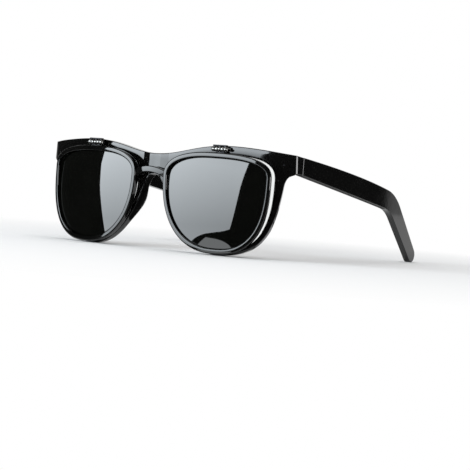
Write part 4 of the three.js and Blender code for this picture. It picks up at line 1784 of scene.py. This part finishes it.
@dataclass
class Studio:
    """Pale floor, plain soft light and a camera at the photographed angle."""

    eye: Triple = (0.38308, -0.62048, 0.02843)
    azimuth: float = 31.53
    elevation: float = 1.6
    roll: float = 4.58
    focal: float = 104.54
    sensor: float = 36.0
    clip: Pair = (0.01, 50.0)
    floor_reach: float = 3.0
    floor_front: float = -0.0815  # edge of the table, just ahead of the spectacles
    floor_fade: Pair = (0.1, 0.32)
    floor_colour: Triple = (0.86, 0.86, 0.86)
    # painted dark reflection: colour and outline of a black sheet under the temples that only mirrors see
    flag_colour: Triple = (0.01, 0.01, 0.01)
    flag_corners: tuple[Pair, ...] = (
        (-0.13, 0.06), (-0.012, 0.06), (-0.012, -0.058), (0.052, -0.058), (0.052, 0.06), (0.04, 0.06),
        (0.04, 0.3), (-0.13, 0.3))
    fill: float = 0.5  # strength of the room as light
    room: float = 0.03  # and as mirrors show it, on the camera's side
    backdrop: Triple = (-0.523, 0.852, 0.0)  # the way to the middle of the white background
    backdrop_rise: Pair = (0.7, 0.88)
    backdrop_edge: Pair = (0.545, 0.549)
    backdrop_side: Pair = (-0.05, 0.05)
    backdrop_dim: float = 0.55
    panels: tuple[Panel, ...] = (KEY_PANEL, SIDE_PANEL, LOW_CARD, TOP_PANEL)

    def camera(self) -> None:
        """Places the camera."""
        a, r = math.radians(self.azimuth), math.radians(self.roll)
        back = towards(self.azimuth, self.elevation)
        right = Vector((math.cos(a), math.sin(a), 0.0))
        up = back.cross(right)
        across = right * math.cos(r) + up * math.sin(r)
        over = up * math.cos(r) - right * math.sin(r)
        data = bpy.data.cameras.new("camera")
        data.lens, data.sensor_width = self.focal, self.sensor
        data.clip_start, data.clip_end = self.clip
        made = shown(data, "camera")
        made.matrix_world = Matrix.Translation(self.eye) @ Matrix((across, over, back)).transposed().to_4x4()
        bpy.context.scene.camera = made

    def seen(self, tree: Tree) -> Socket:
        """Adds a value that is 1 for what the camera, mirrors and glass show.

        Args:
            tree: Node tree of the floor or world.

        Returns:
            The socket of the value.
        """
        path = tree.nodes.new("ShaderNodeLightPath").outputs
        mirrors = worked(tree, "MAXIMUM", path["Is Camera Ray"], path["Is Glossy Ray"])
        return worked(tree, "MAXIMUM", mirrors, path["Is Transmission Ray"])

    def world(self) -> None:
        """Makes a white background behind the object and a dim room on the camera's side."""
        world = bpy.data.worlds.new("studio")
        bpy.context.scene.world = world
        world.use_nodes = True
        tree = world.node_tree
        nodes, links = tree.nodes, tree.links
        nodes.clear()
        way = nodes.new("ShaderNodeTexCoord").outputs["Generated"]
        facing = nodes.new("ShaderNodeVectorMath")
        facing.operation = "DOT_PRODUCT"
        facing.inputs[1].default_value = self.backdrop
        links.new(way, facing.inputs[0])
        split = nodes.new("ShaderNodeSeparateXYZ")
        links.new(way, split.inputs["Vector"])
        behind = ranged(tree, facing.outputs["Value"], self.backdrop_rise, (self.room, 1.0))
        beside = ranged(tree, facing.outputs["Value"], self.backdrop_edge)
        right = ranged(tree, split.outputs["X"], self.backdrop_side, (0.0, self.backdrop_dim))
        mirrored_room = worked(tree, "MAXIMUM", behind, worked(tree, "MULTIPLY", beside, right))
        camera_ray = nodes.new("ShaderNodeLightPath").outputs["Is Camera Ray"]
        level = nodes.new("ShaderNodeMix")
        level.inputs["A"].default_value = self.fill
        links.new(self.seen(tree), level.inputs["Factor"])
        links.new(worked(tree, "MAXIMUM", mirrored_room, camera_ray), level.inputs["B"])
        glow = nodes.new("ShaderNodeBackground")
        glow.inputs["Color"].default_value = (1.0, 1.0, 1.0, 1.0)
        links.new(level.outputs["Result"], glow.inputs["Strength"])
        out = nodes.new("ShaderNodeOutputWorld")
        links.new(glow.outputs["Background"], out.inputs["Surface"])

    def pale(self) -> Material:
        """Makes the floor's material, which fades to the white of the background away from the object.

        Returns:
            The material.
        """
        material, tree = empty_material("pale_floor")
        nodes, links = tree.nodes, tree.links
        base = nodes.new("ShaderNodeBsdfDiffuse")
        base.inputs["Color"].default_value = (*self.floor_colour, 1.0)
        away = nodes.new("ShaderNodeVectorMath")
        away.operation = "LENGTH"
        links.new(nodes.new("ShaderNodeTexCoord").outputs["Object"], away.inputs[0])
        far = ranged(tree, away.outputs["Value"], self.floor_fade)
        blend = nodes.new("ShaderNodeMixShader")
        links.new(worked(tree, "MULTIPLY", far, self.seen(tree)), blend.inputs["Fac"])
        links.new(base.outputs["BSDF"], blend.inputs[1])
        links.new(nodes.new("ShaderNodeEmission").outputs["Emission"], blend.inputs[2])
        out = nodes.new("ShaderNodeOutputMaterial")
        links.new(blend.outputs["Shader"], out.inputs["Surface"])
        return material

    def floor(self) -> None:
        """Makes the pale table top and, ahead of its edge, a sweep of the same colour below the key light."""
        material = self.pale()
        for name, turn in (("floor", 1.0), ("floor_sweep", -1.0)):
            mesh = bmesh.new()
            bmesh.ops.create_grid(mesh, x_segments=1, y_segments=1, size=self.floor_reach)
            shifted(mesh, (0.0, turn * self.floor_reach + self.floor_front, 0.0))
            made = staged(name, mesh, material)
            made.visible_glossy = made.visible_shadow = turn > 0.0

    def flag(self) -> None:
        """Lays a black sheet behind the front, which only mirrors see: a painted dark reflection that keeps
        the temples dark below.
        """
        material = bpy.data.materials.new("painted_dark_reflection_sheet")
        material.use_nodes = True
        shader = material.node_tree.nodes["Principled BSDF"]
        shader.inputs["Base Color"].default_value = (*self.flag_colour, 1.0)
        # painted dark reflection: hidden from the camera, from diffuse light, from shadows and from glass,
        # seen only in mirrors
        made = staged("painted_dark_reflection_sheet", filled([Vector((x, y, MM)) for x, y in self.flag_corners]), material)
        made.visible_camera = made.visible_diffuse = made.visible_shadow = made.visible_transmission = False

    def build(self) -> None:
        """Sets up the whole studio."""
        bpy.context.scene.view_settings.view_transform = "Standard"
        self.camera()
        self.world()
        self.floor()
        self.flag()
        for panel in self.panels:
            panel.build()


def write_sizes() -> None:
    boxes = {"cad": CAD_BOX, "visual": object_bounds()}
    {key: [list(corner) for corner in box] for key, box in boxes.items()}


def main() -> None:
    """Builds the pieces in order, then the studio."""
    logging.basicConfig(level=logging.INFO, format="%(message)s")
    maker = Maker(Palette())
    clear_front = (FRAME_DEPTH - CLEAR_THICK) / 2
    FrontFrame().build(maker)
    LensPair("clear_lens", Body.FRAME, Slot.CLEAR, FRAME_EYE, CLEAR_THICK, clear_front, 0.0).build(maker)
    FlipFrame().build(maker)
    LensPair("dark_lens", Body.FLIP_FRONT, Slot.DARK, DARK_EYE, DARK_THICK, DARK_RECESS,
             FLIP_STANDOFF).build(maker)
    FlipHinge().build(maker)
    EndRivet().build(maker)
    Temple().build(maker)
    SmallMetal().build(maker)
    Studio().build()
    write_sizes()


if __name__ == "__main__":
    main()
